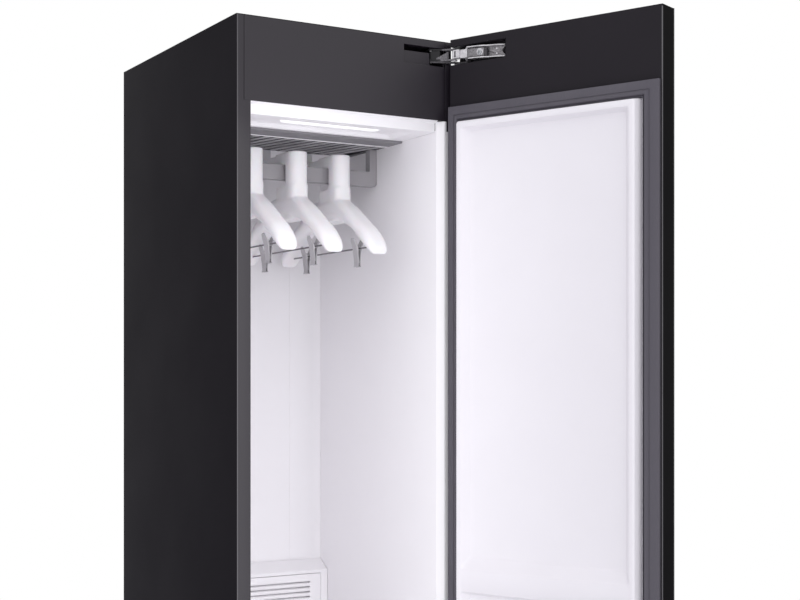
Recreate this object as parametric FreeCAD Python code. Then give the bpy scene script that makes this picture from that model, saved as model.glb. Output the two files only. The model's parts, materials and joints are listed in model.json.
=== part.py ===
import FreeCAD, Part
import math
import os

# Clothes care steam cabinet, door standing open.
# Frame: origin on the floor under the middle of the cabinet's footprint, X to the right seen
# from the front, Y towards the back, Z up. Millimetres.

# ---------------------------------------------------------------- driving dimensions
CABINET_WIDTH = 445.0
CABINET_DEPTH = 570.0
CABINET_HEIGHT = 1850.0
TRAY_HEIGHT = 15.0           # underside of the base tray above the floor
SIDE_WALL = 27.0             # cabinet side to cavity
MOUTH_FLARE = 11.5           # hinge-side wall's slope at the mouth, clear of the door's liner
MOUTH_RIM = 5.0              # flat front rim beside that slope
BACK_WALL = 85.0             # cavity back to cabinet rear
HEADER_HEIGHT = 150.0        # facia above the door opening
CEILING_DROP = 20.0          # ceiling below the facia's lower edge
CAVITY_FLOOR = 430.0         # cavity floor above the ground
HEADER_EDGE = 14.0           # folded side panel edge beside the facias
DOOR_OPEN_ANGLE = 112.0

# walls and gaps
SHEET = 1.0                  # steel skins
LINER_WALL = 2.5             # white plastic liner
FACIA_WALL = 3.0
FIT_GAP = 0.3                # between assembled pieces
SEAM = 0.6                   # visible joint line
SHAFT_GAP = 0.05             # running clearance of a shaft in its bore, radial
SLIDE_GAP = 0.8              # round a piece that slides out

# base tray and feet
TRAY_SHEET = 2.0
TRAY_RIM = 30.0
SKID_SIZE = 46.0
FOOT_INSET_X = 50.0
FOOT_INSET_Y = 45.0
FOOT_RADIUS = 20.0
FOOT_PAD = 8.0
FOOT_STEM_RADIUS = 5.0
FOOT_STEM_LENGTH = 34.0
FOOT_NUT_RADIUS = 10.0
FOOT_BOSS_RADIUS = 12.0
FOOT_BOSS_HEIGHT = 18.0

# skins
TOP_RIM = 12.0
VENT_COLUMNS = 6
VENT_ROWS = 8
VENT_LENGTH = 46.0
VENT_HEIGHT = 4.0
VENT_PITCH_X = 60.0
VENT_PITCH_Z = 14.0
VENT_LOWEST = 190.0
INLET_X = 150.0
INLET_Z = 110.0
INLET_WIDTH = 27.0
INLET_HEIGHT = 20.0
INLET_FLANGE = 12.0
INLET_DEPTH = 26.0
INLET_WALL = 3.0
INLET_BLADE = 2.0

# hinge pockets in the facias
POCKET_LENGTH = 88.0
POCKET_HEIGHT = 34.0
POCKET_DEPTH = 46.0
POCKET_WALL = 2.0
POCKET_COVER_LENGTH = 58.0
POCKET_COVER_HEIGHT = 24.0
POCKET_COVER_RECESS = 4.0
UPPER_POCKET_DROP = 48.0     # pocket's lower edge below the cabinet's top
LOWER_POCKET_RISE = 55.0     # pocket's lower edge above the floor
FACIA_RETURN = 14.0

# cavity liner
STEP_DEPTH = 2.0             # upright steps of the back wall
STEP_INNER = 121.0
STEP_OUTER = 179.0
TROUGH_HALF = 165.0
TROUGH_FRONT = 47.0
TROUGH_BACK = 130.0
TROUGH_DEPTH = 8.0
TROUGH_SLOPE = 12.0
STEAM_OUTLET_RADIUS = 30.0
STEAM_OUTLET_BEHIND = 74.0   # outlet centre behind the tanks' rear ends
STEAM_SLOT = 4.0
STEAM_SLOT_PITCH = 9.0
FLOOR_LIP = 3.0
CEILING_LIP_SETBACK = 16.0   # ceiling's front edge behind the front plane, clear of the door
CEILING_LIP_SLOPE = 3.0

# lamp
LENS_HALF = 102.0
LENS_WIDTH = 26.0
LENS_DEPTH = 67.0            # lens centre behind the front plane
LENS_THICKNESS = 4.0

# ceiling grille
GRILLE_FRONT = 137.0
GRILLE_BACK = 350.0
GRILLE_BAND = 56.0
GRILLE_PLATE = 4.0
GRILLE_SPIGOT = 10.0
GRILLE_SPIGOT_WALL = 2.5
GRILLE_MARGIN = 12.0
SLAT_PITCH = 22.5
SLAT_OPENING = 10.5
SLAT_ANGLE = 15.0
BAND_PROUD = 1.5

# hanging rail
RAIL_FRONT = 238.0
RAIL_THICKNESS = 18.0
RAIL_HEIGHT = 30.0
RAIL_TOP = 49.0              # rail's top below the ceiling
RAIL_LEG = 16.0
RAIL_EDGE = 1.0

# hangers
HANGER_COUNT = 3
HANGER_PITCH = 95.0
NECK_FRONT = 46.0            # neck's front face ahead of the rail's front
NECK_REAR = 15.0             # hook's rear face behind the rail's back
NECK_WIDTH = 38.0
NECK_ROUND = 15.0
ARM_HALF = 194.0             # middle of the rail to an arm's tip
ARM_WIDTH = 42.0
ARM_FALL = 143.0             # hub's top to the lowest point of an arm's tip
ARM_SQUARENESS = 3.2         # section between an oval, 2, and a rectangle
HOOK_WALL = 22.0             # height of the bridge over the rail
HOOK_LIP = 9.0
HOOK_LIP_GAP = 3.0           # behind the rail
DUCT_WALL = 3.0
ARM_WALL = 2.5
HUB_DROP = 65.0              # hub's top below the hook's top
HUB_BOTTOM = 132.0           # neck's flat underside below the hook's top
WIRE_RADIUS = 1.6
WIRE_DROP = 190.0            # trouser wire below the hook's top
WIRE_END = 14.0              # wire's end from the arm's tip
HANGER_LIFT = 10.5

# clips
CLIP_WIDTH = 18.0
CLIP_TOP = 20.0
CLIP_BOTTOM = 36.0
CLIP_SPREAD = 12.0
CLIP_WAIST = 4.6
CLIP_LEG = 2.0
CLIP_JAW_GAP = 0.4
CLIP_BARREL = 3.4
CLIP_OFFSET = 108.0          # clip from the middle of the wire
SPRING_RADIUS = 3.2
SPRING_WIRE = 0.9
CLIP_KNUCKLE = 2.4

# nozzles
NOZZLE_HEIGHT = 18.0
NOZZLE_WALL = 2.0
NOZZLE_RISER = 26.0
NOZZLE_REACH = 87.0
NOZZLE_WIDTH = 30.0
NOZZLE_FLANGE = 4.0

# air plenum and upper fan
PLENUM_HALF = 186.0
PLENUM_HEIGHT = 90.0
PLENUM_REAR_GAP = 9.0        # plenum's rear ahead of the cavity's back
BAFFLE_RISE = 26.0
FAN_INLET_RADIUS = 62.0
FAN_RADIUS = 88.0
FAN_HEIGHT = 44.0
FAN_DISC = 2.0
FAN_BLADES = 14
FAN_BLADE = 2.0
FAN_BLADE_LENGTH = 34.0
FAN_BLADE_LEAN = 35.0
FAN_HUB_RADIUS = 12.0
FAN_SHAFT_RADIUS = 4.0
FAN_GAP = 5.0
MOTOR_RADIUS = 46.0
MOTOR_HEIGHT = 36.0

# louvre box and lint filter
BOX_DEPTH = 34.0
BOX_TOP = 800.0
BOX_BEVEL = 21.0
FILTER_HALF = 178.0
FILTER_TOP = 793.0
FILTER_BOTTOM = 470.0
FILTER_THICKNESS = 16.0
FILTER_FRAME = 3.0
LOUVRE_HALF = 152.0
LOUVRE_PITCH = 10.5
LOUVRE_OPENING = 4.4
LOUVRE_TOP_MARGIN = 14.0
FILTER_MESH = 1.0
FILTER_RIM = 8.0
SEAT_RIM = 6.0

# tanks
TANK_WIDTH = 184.0
TANK_HEIGHT = 270.0
MACHINE_DEPTH = 354.0        # space behind the tanks
TANK_WALL = 2.5
TANK_SHELF = 116.0           # shelf's top above the floor
TANK_DIVIDER = 8.0
TANK_GRIP_WIDTH = 96.0
TANK_GRIP_HEIGHT = 34.0
TANK_GRIP_DEPTH = 22.0
TANK_GRIP_DROP = 30.0
TANK_NECK_RADIUS = 22.0
TANK_NECK_HEIGHT = 8.0
TANK_NECK_DEPTH = 70.0
CAP_WALL = 2.5
CAP_HEIGHT = 9.0
CAP_GRIP = 4.0
PLINTH_SLOT_LENGTH = 230.0
PLINTH_SLOT_HEIGHT = 5.0
PLINTH_SLOT_PITCH = 12.0
PLINTH_SLOTS = 4

# machine space
EXCHANGER_WIDTH = 190.0
EXCHANGER_DEPTH = 50.0
EXCHANGER_HEIGHT = 170.0
EXCHANGER_GAP = 10.0
EXCHANGER_FINS = 18
EXCHANGER_FIN_GAP = 5.0
EXCHANGER_FIN_DEPTH = 14.0
EXCHANGER_BEHIND = 20.0      # first heat exchanger behind the tanks' rear ends
COMPRESSOR_RADIUS = 58.0
COMPRESSOR_HEIGHT = 170.0
COMPRESSOR_FOOT = 14.0
COMPRESSOR_FOOT_RADIUS = 12.0
COMPRESSOR_PLATE = 3.0
COMPRESSOR_DOME = 18.0
BOILER_WIDTH = 130.0
BOILER_DEPTH = 90.0
BOILER_HEIGHT = 110.0
BOILER_LEG = 22.0
BOILER_LEG_SIZE = 12.0
STEAM_PIPE_RADIUS = 8.0
BLOWER_RADIUS = 84.0
BLOWER_HEIGHT = 86.0
BLOWER_WALL = 2.5
BLOWER_OUTLET = 70.0
BLOWER_WHEEL_RADIUS = 66.0
BLOWER_WHEEL_HEIGHT = 62.0
BLOWER_SHAFT_RADIUS = 4.0
BLOWER_INLET_RADIUS = 46.0
BOARD_WIDTH = 160.0
BOARD_HEIGHT = 110.0
BOARD_SHEET = 1.6
BOARD_STANDOFF = 10.0
BOARD_STANDOFF_RADIUS = 4.0
CHIP_HEIGHT = 14.0

# door
DOOR_WIDTH = 442.0
DOOR_THICKNESS = 45.0
DOOR_BOTTOM = 20.0           # door's lower edge above the floor
DOOR_GAP = 12.0              # cabinet front to the door's inner face, closed
DOOR_SIDE_GAP = 1.5          # cabinet side to the door's hinge edge
DOOR_GLASS = 4.0
DOOR_FRAME_WALL = 3.0
DOOR_EDGE_ROUND = 1.5
GASKET_TOP = 128.0           # gasket's top below the door's top
GASKET_BOTTOM = 396.0
GASKET_INSET_HINGE = 4.0
GASKET_INSET_FREE = 4.0
GASKET_BAND = 8.0
GASKET_BEAD = 3.4
GASKET_BEAD_WIDTH = 8.0
GASKET_BEAD_INSET = 3.0
LINER_START = 27.0           # liner base from the hinge edge
LINER_END = 404.0
LINER_TOP = 157.0            # liner base below the door's top
LINER_BOTTOM = 438.0
LINER_PROUD = 25.0
LINER_DRAFT = 3.5
TRAY_RECESS = 14.0
TRAY_MARGIN_HINGE = 10.5
TRAY_MARGIN_FREE = 10.0
TRAY_TOP_MARGIN = 12.0
TRAY_DIVIDE = 858.0          # lower edge of the upper tray above the floor
TRAY_BAND = 40.0             # liner between the two trays
TRAY_BOTTOM_MARGIN = 14.0
TRAY_SIDE_BEVEL = 13.0
TRAY_TOP_BEVEL = 6.0
TRAY_BOTTOM_BEVEL = 23.0
DISPLAY_WIDTH = 120.0
DISPLAY_HEIGHT = 26.0
DISPLAY_DEPTH = 1.5
DISPLAY_CENTRE = 1500.0

# concealed hinge
PIN_FROM_EDGE = 4.5          # hinge pin from the door's hinge edge
PIN_FROM_FACE = 8.0          # hinge pin behind the door's inner face
HINGE_PIN_RADIUS = 2.2
KNUCKLE_RADIUS = 4.2
EAR = 3.0
EAR_GAP = 0.3
KNUCKLE_HEIGHT = 16.0
HINGE_FLOOR_GAP = 3.5
LINK_THICKNESS = 3.0
LINK_RADIUS = 4.0
LINK_PIN_RADIUS = 2.0
TAB_THICKNESS = 2.5
SLOT_DEEP = 31.0
SLOT_DEEP_LENGTH = 42.0
SLOT_SHALLOW = 16.0
SLOT_LENGTH = 124.0
SLOT_BLOCK = 3.0
ARM_LENGTH = 118.0
ARM_THICKNESS = 13.0
LINK_PIVOT_BACK = 45.0       # link pivot from the hinge pin
LINK_PIVOT_ANGLE = 142.0
LINK_END_REACH = 16.0        # link's far pin from the hinge pin
LINK_END_PLAY = 7.0          # length of the far pin's slot beyond the pin
LINK_SLOT_PLAY = 1.3         # side play of the far pin in its slot
TAB_WALL = 1.5
BRACKET_HALF = 5.0
BRACKET_BASE_DEPTH = 16.0

# ---------------------------------------------------------------- derived places
HALF = CABINET_WIDTH / 2
FRONT = -CABINET_DEPTH / 2
REAR = CABINET_DEPTH / 2
CAVITY_HALF = HALF - SIDE_WALL
CAVITY_BACK = REAR - BACK_WALL
OPENING_TOP = CABINET_HEIGHT - HEADER_HEIGHT
CEILING = OPENING_TOP - CEILING_DROP
SKIN_HALF = HALF - SHEET
SKIN_TOP = CABINET_HEIGHT - SHEET
TRAY_FLOOR = TRAY_HEIGHT + TRAY_SHEET
LINER_TOP_FACE = CEILING + LINER_WALL
FACIA_HALF = HALF - HEADER_EDGE - SEAM
HOOK_UNDER = CEILING - RAIL_TOP + FIT_GAP
HOOK_TOP = HOOK_UNDER + HOOK_WALL
WIRE_HEIGHT = HOOK_TOP - WIRE_DROP
HINGE_EDGE_X = HALF - DOOR_SIDE_GAP
DOOR_FACE = FRONT - DOOR_GAP
DOOR_OUTER = DOOR_FACE - DOOR_THICKNESS
PIN_X = HINGE_EDGE_X - PIN_FROM_EDGE
PIN_Y = DOOR_FACE - PIN_FROM_FACE
UPPER_POCKET = CABINET_HEIGHT - UPPER_POCKET_DROP
LOWER_POCKET = LOWER_POCKET_RISE
TANK_LENGTH = CABINET_DEPTH - MACHINE_DEPTH
RAIL_MIDDLE = RAIL_FRONT + RAIL_THICKNESS / 2
HOOK_REAR = RAIL_FRONT + RAIL_THICKNESS + NECK_REAR
RIM_END = CAVITY_HALF + MOUTH_FLARE + MOUTH_RIM
POCKET_END = FACIA_HALF - POCKET_WALL
POCKET_START = POCKET_END - POCKET_LENGTH
FAN_DEPTH = (GRILLE_FRONT + GRILLE_BACK) / 2
SLIDE = 2 * SLIDE_GAP
EPS = 0.01


def back_from_front(depth):
    """Y of a place that lies a depth behind the cabinet's front plane."""
    return FRONT + depth


# ---------------------------------------------------------------- shape helpers
def box(x0, x1, y0, y1, z0, z1):
    corner = FreeCAD.Vector(min(x0, x1), min(y0, y1), min(z0, z1))
    return Part.makeBox(abs(x1 - x0), abs(y1 - y0), abs(z1 - z0), corner)


def cylinder(radius, x, y, z, height, direction=(0, 0, 1)):
    return Part.makeCylinder(radius, height, FreeCAD.Vector(x, y, z), FreeCAD.Vector(*direction))


def ring(outer, inner, x, y, z, height, direction=(0, 0, 1)):
    return cylinder(outer, x, y, z, height, direction).cut(
        cylinder(inner, x, y, z, height, direction))


def polygon_face(points):
    wire = Part.makePolygon([FreeCAD.Vector(*p) for p in points + points[:1]])
    return Part.Face(wire)


def prism_along_x(points_yz, x0, x1):
    face = polygon_face([(x0, y, z) for y, z in points_yz])
    return face.extrude(FreeCAD.Vector(x1 - x0, 0, 0))


def prism_along_y(points_xz, y0, y1):
    face = polygon_face([(x, y0, z) for x, z in points_xz])
    return face.extrude(FreeCAD.Vector(0, y1 - y0, 0))


def prism_along_z(points_xy, z0, z1):
    face = polygon_face([(x, y, z0) for x, y in points_xy])
    return face.extrude(FreeCAD.Vector(0, 0, z1 - z0))


def rect_wire(corners):
    return Part.makePolygon([FreeCAD.Vector(*c) for c in corners + corners[:1]])


def frustum_y(near, y0, far, y1):
    """Tapered block between two X-Z rectangles (x0, x1, z0, z1) at y0 and y1."""
    wires = []
    for (x0, x1, z0, z1), y in ((near, y0), (far, y1)):
        wires.append(rect_wire([(x0, y, z0), (x1, y, z0), (x1, y, z1), (x0, y, z1)]))
    return Part.makeLoft(wires, True, True)


def frustum_z(low, z0, high, z1):
    """Tapered block between two X-Y rectangles (x0, x1, y0, y1) at z0 and z1."""
    wires = []
    for (x0, x1, y0, y1), z in ((low, z0), (high, z1)):
        wires.append(rect_wire([(x0, y0, z), (x1, y0, z), (x1, y1, z), (x0, y1, z)]))
    return Part.makeLoft(wires, True, True)


def stadium(x0, y0, x1, y1, radius, z0, z1):
    """Flat bar with round ends between two points of the X-Y plane."""
    length = math.hypot(x1 - x0, y1 - y0)
    ux = (x1 - x0) / length
    uy = (y1 - y0) / length
    side_x = -uy * radius
    side_y = ux * radius
    bar = prism_along_z([(x0 + side_x, y0 + side_y), (x0 - side_x, y0 - side_y),
                         (x1 - side_x, y1 - side_y), (x1 + side_x, y1 + side_y)], z0, z1)
    ends = [cylinder(radius, x, y, z0, z1 - z0) for x, y in ((x0, y0), (x1, y1))]
    return bar.multiFuse(ends).removeSplitter()


def edges_along(shape, axis):
    """Straight edges of a shape that run along one axis (0 for X, 1 for Y, 2 for Z)."""
    chosen = []
    for edge in shape.Edges:
        if edge.Curve.TypeId == "Part::GeomLine":
            step = edge.Vertexes[-1].Point - edge.Vertexes[0].Point
            if abs(abs(step[axis]) - step.Length) < EPS:
                chosen.append(edge)
    return chosen


def rounded_box(x0, x1, y0, y1, z0, z1, radius, axis):
    solid = box(x0, x1, y0, y1, z0, z1)
    return solid.makeFillet(radius, edges_along(solid, axis))


def fuse(shapes):
    return shapes[0].multiFuse(shapes[1:]).removeSplitter()


def cut_all(shape, tools):
    return shape.cut(tools).removeSplitter() if tools else shape


def save(name, shape):
    shape.exportStep("parts/" + name + ".step")


def save_group(name, shapes):
    save(name, Part.makeCompound(shapes))


def swing_open(shape):
    """Turns a piece of the closed door about the hinge pin to the open stop."""
    turned = shape.copy()
    turned.rotate(FreeCAD.Vector(PIN_X, PIN_Y, 0), FreeCAD.Vector(0, 0, 1), DOOR_OPEN_ANGLE)
    return turned


# ---------------------------------------------------------------- base and skins
def foot_places():
    return [(side * (HALF - FOOT_INSET_X), back_from_front(FOOT_INSET_Y)) for side in (-1, 1)]


def base_tray():
    """Pressed tray that carries the machine, with foot bosses in front and skids behind."""
    outer = box(-SKIN_HALF, SKIN_HALF, FRONT + FACIA_WALL + FIT_GAP, REAR - SHEET,
                TRAY_HEIGHT, TRAY_HEIGHT + TRAY_RIM)
    inner = box(-SKIN_HALF + TRAY_SHEET, SKIN_HALF - TRAY_SHEET,
                FRONT + FACIA_WALL + FIT_GAP + TRAY_SHEET, REAR - SHEET - TRAY_SHEET,
                TRAY_FLOOR, TRAY_HEIGHT + TRAY_RIM + SHEET)
    skids = []
    for side in (-1, 1):
        x = side * (HALF - FOOT_INSET_X)
        skids.append(rounded_box(x - SKID_SIZE / 2, x + SKID_SIZE / 2,
                                 REAR - FOOT_INSET_Y - SKID_SIZE / 2,
                                 REAR - FOOT_INSET_Y + SKID_SIZE / 2,
                                 0, TRAY_FLOOR, FOOT_PAD, 2))
    bosses = [cylinder(FOOT_BOSS_RADIUS, x, y, TRAY_HEIGHT, FOOT_BOSS_HEIGHT)
              for x, y in foot_places()]
    tray = fuse([outer.cut(inner)] + skids + bosses)
    bores = [cylinder(FOOT_STEM_RADIUS + SHAFT_GAP, x, y, 0, TRAY_HEIGHT + FOOT_BOSS_HEIGHT + SHEET)
             for x, y in foot_places()]
    save("base_tray", cut_all(tray, bores))


def front_feet():
    """Screw feet: a round pad, a hexagonal nut and a stem up into the tray's boss."""
    for name, (x, y) in zip(("front_left_foot", "front_right_foot"), foot_places()):
        pad = cylinder(FOOT_RADIUS, x, y, 0, FOOT_PAD)
        pad = pad.makeFillet(FOOT_PAD / 4, pad.Edges)
        hexagon = []
        for k in range(6):
            turn = math.radians(60 * k)
            hexagon.append((x + FOOT_NUT_RADIUS * math.cos(turn), y + FOOT_NUT_RADIUS * math.sin(turn)))
        nut = prism_along_z(hexagon, FOOT_PAD - SHEET, TRAY_HEIGHT - FIT_GAP)
        stem = cylinder(FOOT_STEM_RADIUS, x, y, FOOT_PAD - SHEET, FOOT_STEM_LENGTH)
        save(name, fuse([pad, nut, stem]))


def side_panel(side):
    """Steel side skin with its front edge folded in, to a width of its own beside the opening."""
    skin = box(side * SKIN_HALF, side * HALF, FRONT, REAR, TRAY_HEIGHT, CABINET_HEIGHT)
    inner = HALF - HEADER_EDGE
    stile_inner = CAVITY_HALF if side < 0 else RIM_END
    folds = [box(side * inner, side * HALF, FRONT, FRONT + SHEET, TRAY_HEIGHT, CAVITY_FLOOR),
             box(side * stile_inner, side * HALF, FRONT, FRONT + SHEET, CAVITY_FLOOR, OPENING_TOP),
             box(side * inner, side * SKIN_HALF, FRONT, FRONT + SHEET, OPENING_TOP, SKIN_TOP)]
    return fuse([skin] + folds)


def side_panels():
    save("left_side_panel", side_panel(-1))
    save("right_side_panel", side_panel(1))


def top_panel():
    lid = box(-SKIN_HALF, SKIN_HALF, FRONT, REAR, SKIN_TOP, CABINET_HEIGHT)
    rims = [box(side * (SKIN_HALF - SHEET), side * SKIN_HALF, FRONT + FACIA_WALL + FIT_GAP,
                REAR - SHEET, SKIN_TOP - TOP_RIM, SKIN_TOP) for side in (-1, 1)]
    save("top_panel", fuse([lid] + rims))


def rear_panel():
    """Rear skin with vent slots over the machine space and the power inlet's hole."""
    skin = box(-SKIN_HALF, SKIN_HALF, REAR - SHEET, REAR, TRAY_HEIGHT, SKIN_TOP)
    cuts = []
    for column in range(VENT_COLUMNS):
        x = (column - (VENT_COLUMNS - 1) / 2) * VENT_PITCH_X
        for row in range(VENT_ROWS):
            z = VENT_LOWEST + row * VENT_PITCH_Z
            cuts.append(box(x - VENT_LENGTH / 2, x + VENT_LENGTH / 2, REAR - 2 * SHEET, REAR + SHEET,
                            z, z + VENT_HEIGHT))
    half_w = INLET_WIDTH / 2 + INLET_WALL + FIT_GAP
    half_h = INLET_HEIGHT / 2 + INLET_WALL + FIT_GAP
    cuts.append(box(INLET_X - half_w, INLET_X + half_w, REAR - 2 * SHEET, REAR + SHEET,
                    INLET_Z - half_h, INLET_Z + half_h))
    save("rear_panel", skin.cut(cuts))


def power_inlet():
    """Recessed appliance inlet with three contact blades, its flange behind the rear panel."""
    half_w = INLET_WIDTH / 2
    half_h = INLET_HEIGHT / 2
    front = REAR - INLET_DEPTH
    shell = box(INLET_X - half_w - INLET_WALL, INLET_X + half_w + INLET_WALL, front, REAR,
                INLET_Z - half_h - INLET_WALL, INLET_Z + half_h + INLET_WALL)
    flange = rounded_box(INLET_X - half_w - INLET_FLANGE, INLET_X + half_w + INLET_FLANGE,
                         REAR - SHEET - INLET_WALL, REAR - SHEET,
                         INLET_Z - half_h - INLET_WALL - SHEET,
                         INLET_Z + half_h + INLET_WALL + SHEET, INLET_WALL, 1)
    hollow = box(INLET_X - half_w, INLET_X + half_w, front + INLET_WALL, REAR + 2 * INLET_WALL,
                 INLET_Z - half_h, INLET_Z + half_h)
    blades = []
    for k, rise in ((-1, 0.0), (0, INLET_BLADE), (1, 0.0)):
        x = INLET_X + k * INLET_WIDTH / 4
        blades.append(box(x - INLET_BLADE / 2, x + INLET_BLADE / 2, front, REAR - INLET_WALL,
                          INLET_Z + rise - INLET_BLADE, INLET_Z + rise + INLET_BLADE))
    save("power_inlet", fuse([shell.fuse(flange).cut(hollow)] + blades))


# ---------------------------------------------------------------- facias with hinge pockets
def pocket_shell(base):
    """Walls of a hinge pocket: a deep box open at the front, with a shallow cover over its left."""
    outer = box(POCKET_START - POCKET_WALL, FACIA_HALF, FRONT,
                FRONT + POCKET_DEPTH + POCKET_WALL, base - POCKET_WALL,
                base + POCKET_HEIGHT + POCKET_WALL)
    hollow = pocket_hollow(base)
    cover = box(POCKET_START - POCKET_WALL, POCKET_START + POCKET_COVER_LENGTH,
                FRONT + POCKET_COVER_RECESS, FRONT + POCKET_COVER_RECESS + POCKET_WALL,
                base - POCKET_WALL, base + POCKET_COVER_HEIGHT)
    cheek = box(POCKET_START + POCKET_COVER_LENGTH - POCKET_WALL, POCKET_START + POCKET_COVER_LENGTH,
                FRONT + POCKET_COVER_RECESS, FRONT + POCKET_DEPTH + POCKET_WALL,
                base - POCKET_WALL, base + POCKET_COVER_HEIGHT)
    ledge = box(POCKET_START - POCKET_WALL, POCKET_START + POCKET_COVER_LENGTH,
                FRONT + POCKET_COVER_RECESS, FRONT + POCKET_DEPTH + POCKET_WALL,
                base + POCKET_COVER_HEIGHT - POCKET_WALL, base + POCKET_COVER_HEIGHT)
    return fuse([outer.cut(hollow), cover, cheek, ledge])


def pocket_hollow(base):
    """Space of a hinge pocket, with a notch through the facia's edge for the link."""
    deep = box(POCKET_START, POCKET_END, FRONT - SHEET, FRONT + POCKET_DEPTH, base,
               base + POCKET_HEIGHT)
    notch = box(POCKET_START, FACIA_HALF + SHEET, FRONT - SHEET, FRONT + FACIA_WALL, base,
                base + POCKET_HEIGHT)
    return fuse([deep, notch])


def header_facia():
    """Satin plate above the opening, folded back along its top edge."""
    plate = box(-FACIA_HALF, FACIA_HALF, FRONT, FRONT + FACIA_WALL, OPENING_TOP, SKIN_TOP)
    stiffener = box(-FACIA_HALF, FACIA_HALF, FRONT, FRONT + FACIA_RETURN,
                    SKIN_TOP - FACIA_WALL, SKIN_TOP)
    shell = pocket_shell(UPPER_POCKET)
    plate = plate.cut(pocket_hollow(UPPER_POCKET))
    save("header_facia", fuse([plate, stiffener, shell]))


def tank_spans():
    """X spans of the two tank openings, left then right."""
    inner = TANK_DIVIDER / 2
    outer = inner + TANK_WIDTH + SLIDE
    return [(-outer, -inner), (inner, outer)]


def lower_facia():
    """Plate below the opening with the two tank openings, their shelf and the lower hinge pocket."""
    plate = box(-FACIA_HALF, FACIA_HALF, FRONT, FRONT + FACIA_WALL, TRAY_HEIGHT + SHEET,
                CAVITY_FLOOR - LINER_WALL)
    shelf_end = back_from_front(TANK_LENGTH + FACIA_WALL + SLIDE)
    outer_x = tank_spans()[1][1] + FACIA_WALL
    shelf = box(-outer_x, outer_x, FRONT, shelf_end, TANK_SHELF - FACIA_WALL, TANK_SHELF)
    back = box(-outer_x, outer_x, shelf_end, shelf_end + FACIA_WALL, TANK_SHELF - FACIA_WALL,
               TANK_SHELF + TANK_GRIP_HEIGHT)
    divider = box(-TANK_DIVIDER / 2, TANK_DIVIDER / 2, FRONT, shelf_end, TANK_SHELF - FACIA_WALL,
                  TANK_SHELF + TANK_HEIGHT + SLIDE)
    openings = [box(x0, x1, FRONT - SHEET, FRONT + 2 * FACIA_WALL, TANK_SHELF,
                    TANK_SHELF + TANK_HEIGHT + SLIDE) for x0, x1 in tank_spans()]
    slots = []
    for k in range(PLINTH_SLOTS):
        z = TRAY_HEIGHT + TRAY_RIM + PLINTH_SLOT_PITCH * (k + 1) - PLINTH_SLOT_HEIGHT
        slots.append(box(-FACIA_HALF + HEADER_EDGE, -FACIA_HALF + HEADER_EDGE + PLINTH_SLOT_LENGTH,
                         FRONT - SHEET, FRONT + 2 * FACIA_WALL, z, z + PLINTH_SLOT_HEIGHT))
    plate = plate.cut(openings + slots + [pocket_hollow(LOWER_POCKET)])
    save("lower_facia", fuse([plate, shelf, back, divider, pocket_shell(LOWER_POCKET)]))


# ---------------------------------------------------------------- cavity liner
def flare_outline(back):
    """Plan of the hinge-side wall: straight, then sloped outwards to a flat rim at the mouth."""
    slant = LINER_WALL * (math.sqrt(2.0) - 1.0)
    outer = CAVITY_HALF + LINER_WALL
    return [(CAVITY_HALF, back), (CAVITY_HALF, FRONT + MOUTH_FLARE),
            (CAVITY_HALF + MOUTH_FLARE, FRONT), (RIM_END - FIT_GAP, FRONT),
            (RIM_END - FIT_GAP, FRONT + LINER_WALL),
            (CAVITY_HALF + MOUTH_FLARE + slant, FRONT + LINER_WALL),
            (outer, FRONT + MOUTH_FLARE + slant), (outer, back)]


def liner_walls():
    """Liner side walls, each with a cheek that closes the corner beside the ceiling's lip."""
    cheek_back = back_from_front(CEILING_LIP_SETBACK) - FIT_GAP
    cheek_top = OPENING_TOP - FIT_GAP
    back = CAVITY_BACK + LINER_WALL
    outer = CAVITY_HALF + LINER_WALL
    left = box(-outer, -CAVITY_HALF, FRONT + SHEET, back, CAVITY_FLOOR, CEILING)
    left_cheek = box(-outer, -CAVITY_HALF, FRONT + SHEET, cheek_back, CEILING, cheek_top)
    save("liner_left_wall", left.fuse(left_cheek))
    right = prism_along_z(flare_outline(back), CAVITY_FLOOR, CEILING)
    right_cheek = prism_along_z(flare_outline(cheek_back), CEILING, cheek_top)
    lid = prism_along_z([(CAVITY_HALF, cheek_back), (CAVITY_HALF, FRONT + MOUTH_FLARE),
                         (CAVITY_HALF + MOUTH_FLARE, FRONT), (RIM_END - FIT_GAP, FRONT),
                         (RIM_END - FIT_GAP, cheek_back)], cheek_top - LINER_WALL, cheek_top)
    save("liner_right_wall", fuse([right, right_cheek, lid]))


def liner_back_wall():
    """Back wall, stepped forward twice towards its middle."""
    wall = box(-CAVITY_HALF, CAVITY_HALF, CAVITY_BACK, CAVITY_BACK + LINER_WALL,
               CAVITY_FLOOR, CEILING)
    steps = []
    for half, proud in ((STEP_OUTER, STEP_DEPTH / 2), (STEP_INNER, STEP_DEPTH)):
        low = (-half, half, BOX_TOP + BOX_BEVEL + LINER_WALL, CEILING)
        high = (-half + STEP_DEPTH, half - STEP_DEPTH, BOX_TOP + BOX_BEVEL + LINER_WALL, CEILING)
        steps.append(frustum_y(low, CAVITY_BACK, high, CAVITY_BACK - proud))
    save("liner_back_wall", fuse([wall] + steps))


def nozzle_holes():
    holes = []
    for x in hanger_places():
        half = NOZZLE_WIDTH / 2 - NOZZLE_WALL
        y0, y1 = nozzle_riser_span()
        holes.append(box(x - half, x + half, y0 + NOZZLE_WALL, y1 - NOZZLE_WALL,
                         CEILING - SHEET, LINER_TOP_FACE + SHEET))
    return holes


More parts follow.
